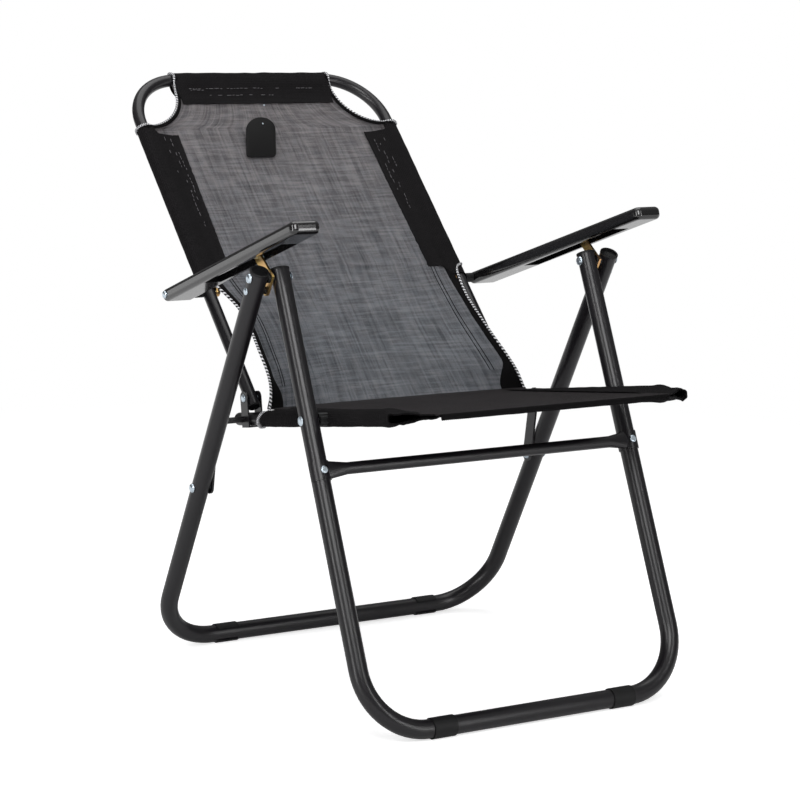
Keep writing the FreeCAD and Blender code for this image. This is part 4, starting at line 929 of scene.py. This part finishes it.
class CHAIR_OT_patch(bpy.types.Operator):
    """The arched leather patch with its stud, and the stud on the sleeve above it"""
    bl_idname = "chair.patch"
    bl_label = "Leather patch"

    def execute(self, context):
        low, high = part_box("leather_patch")
        middle, half = (low.x + high.x) / 2, (high.x - low.x) / 2
        foot, tall, corner = 0.4285, 0.0785, 0.0065
        outline = [(half * math.cos(math.radians(k * 5)), tall - half + half * math.sin(math.radians(k * 5)))
                   for k in range(37)]
        for start, hand in ((180, -1), (270, 1)):
            for k in range(9):
                turn = math.radians(start + k * 90 / 8)
                outline.append((hand * (half - corner) + corner * math.cos(turn),
                                corner + corner * math.sin(turn)))
        clear_selection()
        bpy.ops.mesh.primitive_circle_add(vertices=len(outline), radius=half, fill_type="NGON")
        piece = bpy.context.object
        piece.name = "patch"
        for vertex, (x, up) in zip(piece.data.vertices, outline):
            vertex.co = self.spot(middle, foot, tall, x, up, 0.0026)
        bpy.ops.object.mode_set(mode="EDIT")
        bpy.ops.mesh.select_all(action="SELECT")
        bpy.ops.mesh.extrude_region_move(
            TRANSFORM_OT_translate={"value": ahead_by(0.0014)})
        bpy.ops.mesh.select_all(action="SELECT")
        bpy.ops.mesh.normals_make_consistent(inside=False)
        bpy.ops.object.mode_set(mode="OBJECT")
        add_modifier(piece, "BEVEL", width=0.0005, segments=3, limit_method="ANGLE")
        bpy.ops.object.shade_smooth_by_angle(angle=math.radians(35))
        dress(piece, MATERIALS["black_leather"], "back")
        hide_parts("leather_patch")
        for name, x, up, ahead in (("patch_stud", middle + 0.0125, 0.4938, 0.0041),
                                   ("sleeve_stud", middle + 0.0305, 0.5336, 0.0012)):
            clear_selection()
            bpy.ops.mesh.primitive_uv_sphere_add(segments=20, ring_count=10, radius=0.0014)
            stud = bpy.context.object
            stud.name = name
            for vertex in stud.data.vertices:
                vertex.co = on_back(x + vertex.co.x, up + vertex.co.y, ahead + vertex.co.z * 0.5)
            bpy.ops.object.shade_smooth()
            dress(stud, MATERIALS["bright_rivets"], "back")
        return {"FINISHED"}

    def spot(self, middle, foot, tall, x, up, ahead):
        """The patch is sewn on askew: its sides lean across the back as they rise."""
        return on_back(middle + x + PATCH_SHEAR * (up - tall / 2), foot + up, ahead)


class CHAIR_OT_stitches(bpy.types.Operator):
    """Pale loose stitches on the black cloth and dark double seams on the mesh"""
    bl_idname = "chair.stitches"
    bl_label = "Stitches"

    def execute(self, context):
        dice = random.Random(7)
        self.dashes("top_stitches", self.top_dashes(dice))
        for side, hand in (("right", 1), ("left", -1)):
            self.dashes("band_stitches_" + side, self.band_dashes(dice, hand))
            for row in (0.014, 0.019):
                self.seam("lumbar_seam_%s_%d" % (side, row * 1000), hand, row)
        return {"FINISHED"}

    def dashes(self, name, places):
        """Many short threads joined as one piece."""
        made = []
        for start, end in places:
            thread = tube_on("thread", lambda share, a=start, b=end: a.lerp(b, share), 0.00032,
                             around=6, steps=2)
            made.append(thread)
        clear_selection()
        for thread in made:
            thread.select_set(True)
        bpy.context.view_layer.objects.active = made[0]
        bpy.ops.object.join()
        made[0].name = name
        dress(made[0], MATERIALS["pale_thread"], "back")

    def top_dashes(self, dice):
        places = []
        for row, start, end in ((0.0230, -0.112, 0.104), (0.0340, -0.080, 0.030), (0.0250, -0.110, -0.085)):
            x = start
            while x < end:
                reach = dice.uniform(0.002, 0.0075)
                if dice.random() < 0.62:
                    up = TOP_BAR - row + dice.uniform(-0.0006, 0.0006)
                    ahead = 0.0012 + self.top_rise(row)
                    places.append((on_back(x, up, ahead), on_back(x + reach, up, ahead)))
                x += reach + 0.0022
        return places

    def top_rise(self, below):
        """How far the top sleeve's flap stands ahead of the tube plane, this far below the bar."""
        depth, radius = sizes().top_depth, sizes().sleeve_radius
        return FLAP_REST + (radius - FLAP_REST) * smooth(0.2, 1.0, 1 - below / depth)

    def band_dashes(self, dice, hand):
        places = []
        for inset, start, end in ((0.024, 0.40, 0.475), (0.033, 0.30, 0.47), (0.040, 0.35, 0.47)):
            up = start
            while up < end:
                reach = dice.uniform(0.002, 0.007)
                if dice.random() < 0.5:
                    x = hand * (RAIL_X - inset + dice.uniform(-0.001, 0.001))
                    near = 1 - inset / sizes().band_head_width
                    ahead = 0.0036 + (sizes().sleeve_radius - 0.0022) * smooth(0.1, 1.0, near)
                    places.append((on_back(x, up, ahead), on_back(x, up + reach, ahead)))
                up += reach + 0.003
        return places

    def seam(self, name, hand, inset):
        """A dark sewn line beside the free edge."""
        for part, low, high in (("low", 0.16, LUMBAR_SPLIT), ("high", LUMBAR_SPLIT, 1.0)):
            def line(share, low=low, high=high):
                level = low + (high - low) * share
                across = hand * (1 - (inset + 0.012) / 0.195)
                return lumbar_point(across, level) + ahead_by(0.0007)

            piece = tube_on(name + "_" + part, line, 0.0006, around=6, steps=90)
            dress(piece, MATERIALS["tape"], None)
            blend_zone(piece, part)


# ---------------------------------------------------------------- stage
CAMERA_PLACE = (-1.7300, -2.90854, 0.92785)
CAMERA_YAW_PITCH_ROLL = (31.095, -9.370, 0.725)
CAMERA_LENS, SENSOR_WIDTH = 108.94, 36.0


class CHAIR_OT_stage(bpy.types.Operator):
    """Floor, soft studio light and the camera"""
    bl_idname = "chair.stage"
    bl_label = "Stage"

    def execute(self, context):
        clear_selection()
        bpy.ops.mesh.primitive_plane_add(size=60, location=(0, 0, 0))
        floor = context.object
        floor.name = "floor"
        self.floor_finish(floor)
        self.world(context.scene)
        self.area("key", (-1.3, -2.6, 2.3), (0, 0.1, 0.5), 1.3, 1.3, 40)
        self.area("left_strip", (-2.3, -0.9, 0.9), (0, 0, 0.4), 0.30, 2.2, 20)
        self.area("right_strip", (0.9, -2.5, 0.8), (0, 0, 0.4), 0.26, 2.2, 16)
        self.area("top", (0.2, 0.4, 2.9), (0, 0, 0.3), 2.4, 2.4, 34)
        context.scene.view_settings.view_transform = "Standard"

        camera_data = bpy.data.cameras.new("camera")
        camera = bpy.data.objects.new("camera", camera_data)
        context.collection.objects.link(camera)
        camera_data.sensor_width = SENSOR_WIDTH
        camera_data.lens = CAMERA_LENS
        yaw, pitch, roll = (math.radians(angle) for angle in CAMERA_YAW_PITCH_ROLL)
        ahead = Vector((math.sin(yaw) * math.cos(pitch), math.cos(yaw) * math.cos(pitch), math.sin(pitch)))
        right = ahead.cross(Vector((0, 0, 1))).normalized()
        up = right.cross(ahead)
        right, up = (right * math.cos(roll) + up * math.sin(roll),
                     up * math.cos(roll) - right * math.sin(roll))
        turn = Matrix((right, up, -ahead)).transposed().to_4x4()
        camera.matrix_world = Matrix.Translation(CAMERA_PLACE) @ turn
        context.scene.camera = camera
        return {"FINISHED"}

    def floor_finish(self, floor):
        """White paper: lit near the chair, even white further out."""
        tree, shader = new_material("floor_white", 0.6, Specular_IOR_Level=0.2)
        place = add_node(tree, "ShaderNodeTexCoord")
        cloud = add_node(tree, "ShaderNodeTexNoise", [("Vector", place.outputs["Object"])])
        cloud.inputs["Scale"].default_value = 3.0
        tree.links.new(two_colours(tree, cloud.outputs[0], (0.88, 0.88, 0.885), (0.90, 0.90, 0.905)),
                       shader.inputs["Base Color"])
        shader.inputs["Emission Color"].default_value = (1, 1, 1, 1)
        path = add_node(tree, "ShaderNodeLightPath")
        glow = add_node(tree, "ShaderNodeMath", [(0, path.outputs["Is Camera Ray"])],
                        operation="MULTIPLY", in_1=0.66)
        tree.links.new(glow.outputs[0], shader.inputs["Emission Strength"])
        far = add_node(tree, "ShaderNodeVectorMath", [(0, place.outputs["Object"])], operation="LENGTH")
        edge = add_node(tree, "ShaderNodeMapRange", [(0, far.outputs["Value"])])
        edge.inputs[1].default_value = 0.7
        edge.inputs[2].default_value = 2.2
        plain = add_node(tree, "ShaderNodeEmission")
        mix = add_node(tree, "ShaderNodeMixShader",
                       [(0, edge.outputs[0]), (1, shader.outputs[0]), (2, plain.outputs[0])])
        tree.links.new(mix.outputs[0], tree.nodes["Material Output"].inputs["Surface"])
        floor.data.materials.append(MATERIALS["floor_white"])

    def world(self, scene):
        """White to the eye; to the chair, bright overhead and dim at the horizon."""
        world = bpy.data.worlds.new("studio")
        scene.world = world
        world.use_nodes = True
        tree = world.node_tree
        back = tree.nodes["Background"]
        place = add_node(tree, "ShaderNodeTexCoord")
        split = add_node(tree, "ShaderNodeSeparateXYZ", [(0, place.outputs["Generated"])])
        height = add_node(tree, "ShaderNodeMapRange", [(0, split.outputs[2])])
        height.inputs[1].default_value = 0.0
        height.inputs[2].default_value = 0.8
        height.inputs[3].default_value = 0.05
        height.inputs[4].default_value = 0.32
        path = add_node(tree, "ShaderNodeLightPath")
        seen = add_node(tree, "ShaderNodeMix", [(0, path.outputs["Is Camera Ray"]), (2, height.outputs[0])])
        seen.inputs[3].default_value = 1.0
        tree.links.new(seen.outputs[0], back.inputs["Strength"])
        back.inputs["Color"].default_value = (1, 1, 1, 1)

    def area(self, name, place, aim, width, height, power):
        data = bpy.data.lights.new(name, "AREA")
        data.shape = "RECTANGLE"
        data.size, data.size_y, data.energy = width, height, power
        lamp = bpy.data.objects.new(name, data)
        bpy.context.collection.objects.link(lamp)
        lamp.location = place
        lamp.rotation_euler = (Vector(aim) - Vector(place)).to_track_quat("-Z", "Y").to_euler()


class CHAIR_PT_panel(bpy.types.Panel):
    bl_label = "Camp armchair"
    bl_idname = "CHAIR_PT_panel"
    bl_space_type = "VIEW_3D"
    bl_region_type = "UI"
    bl_category = "Armchair"

    def draw(self, context):
        for operator in OPERATORS:
            self.layout.operator(operator.bl_idname)
        for group in (context.scene.cloth_sizes, context.scene.finish_colours):
            for name in group.__annotations__:
                self.layout.prop(group, name)


OPERATORS = (CHAIR_OT_materials, CHAIR_OT_stage, CHAIR_OT_frame_finish, CHAIR_OT_back_cloth,
             CHAIR_OT_lumbar_cloth, CHAIR_OT_seat_cloth, CHAIR_OT_side_bands, CHAIR_OT_top_sleeve,
             CHAIR_OT_seat_sleeves, CHAIR_OT_trims, CHAIR_OT_patch, CHAIR_OT_stitches)
CLASSES = (ClothSizes, FinishColours) + OPERATORS + (CHAIR_PT_panel,)


def register():
    for item in CLASSES:
        bpy.utils.register_class(item)
    bpy.types.Scene.cloth_sizes = bpy.props.PointerProperty(type=ClothSizes)
    bpy.types.Scene.finish_colours = bpy.props.PointerProperty(type=FinishColours)


def unregister():
    del bpy.types.Scene.finish_colours
    del bpy.types.Scene.cloth_sizes
    for item in reversed(CLASSES):
        bpy.utils.unregister_class(item)


def main():
    register()
    for operator in OPERATORS:
        group, name = operator.bl_idname.split(".")
        getattr(getattr(bpy.ops, group), name)()


if __name__ == "__main__":
    main()
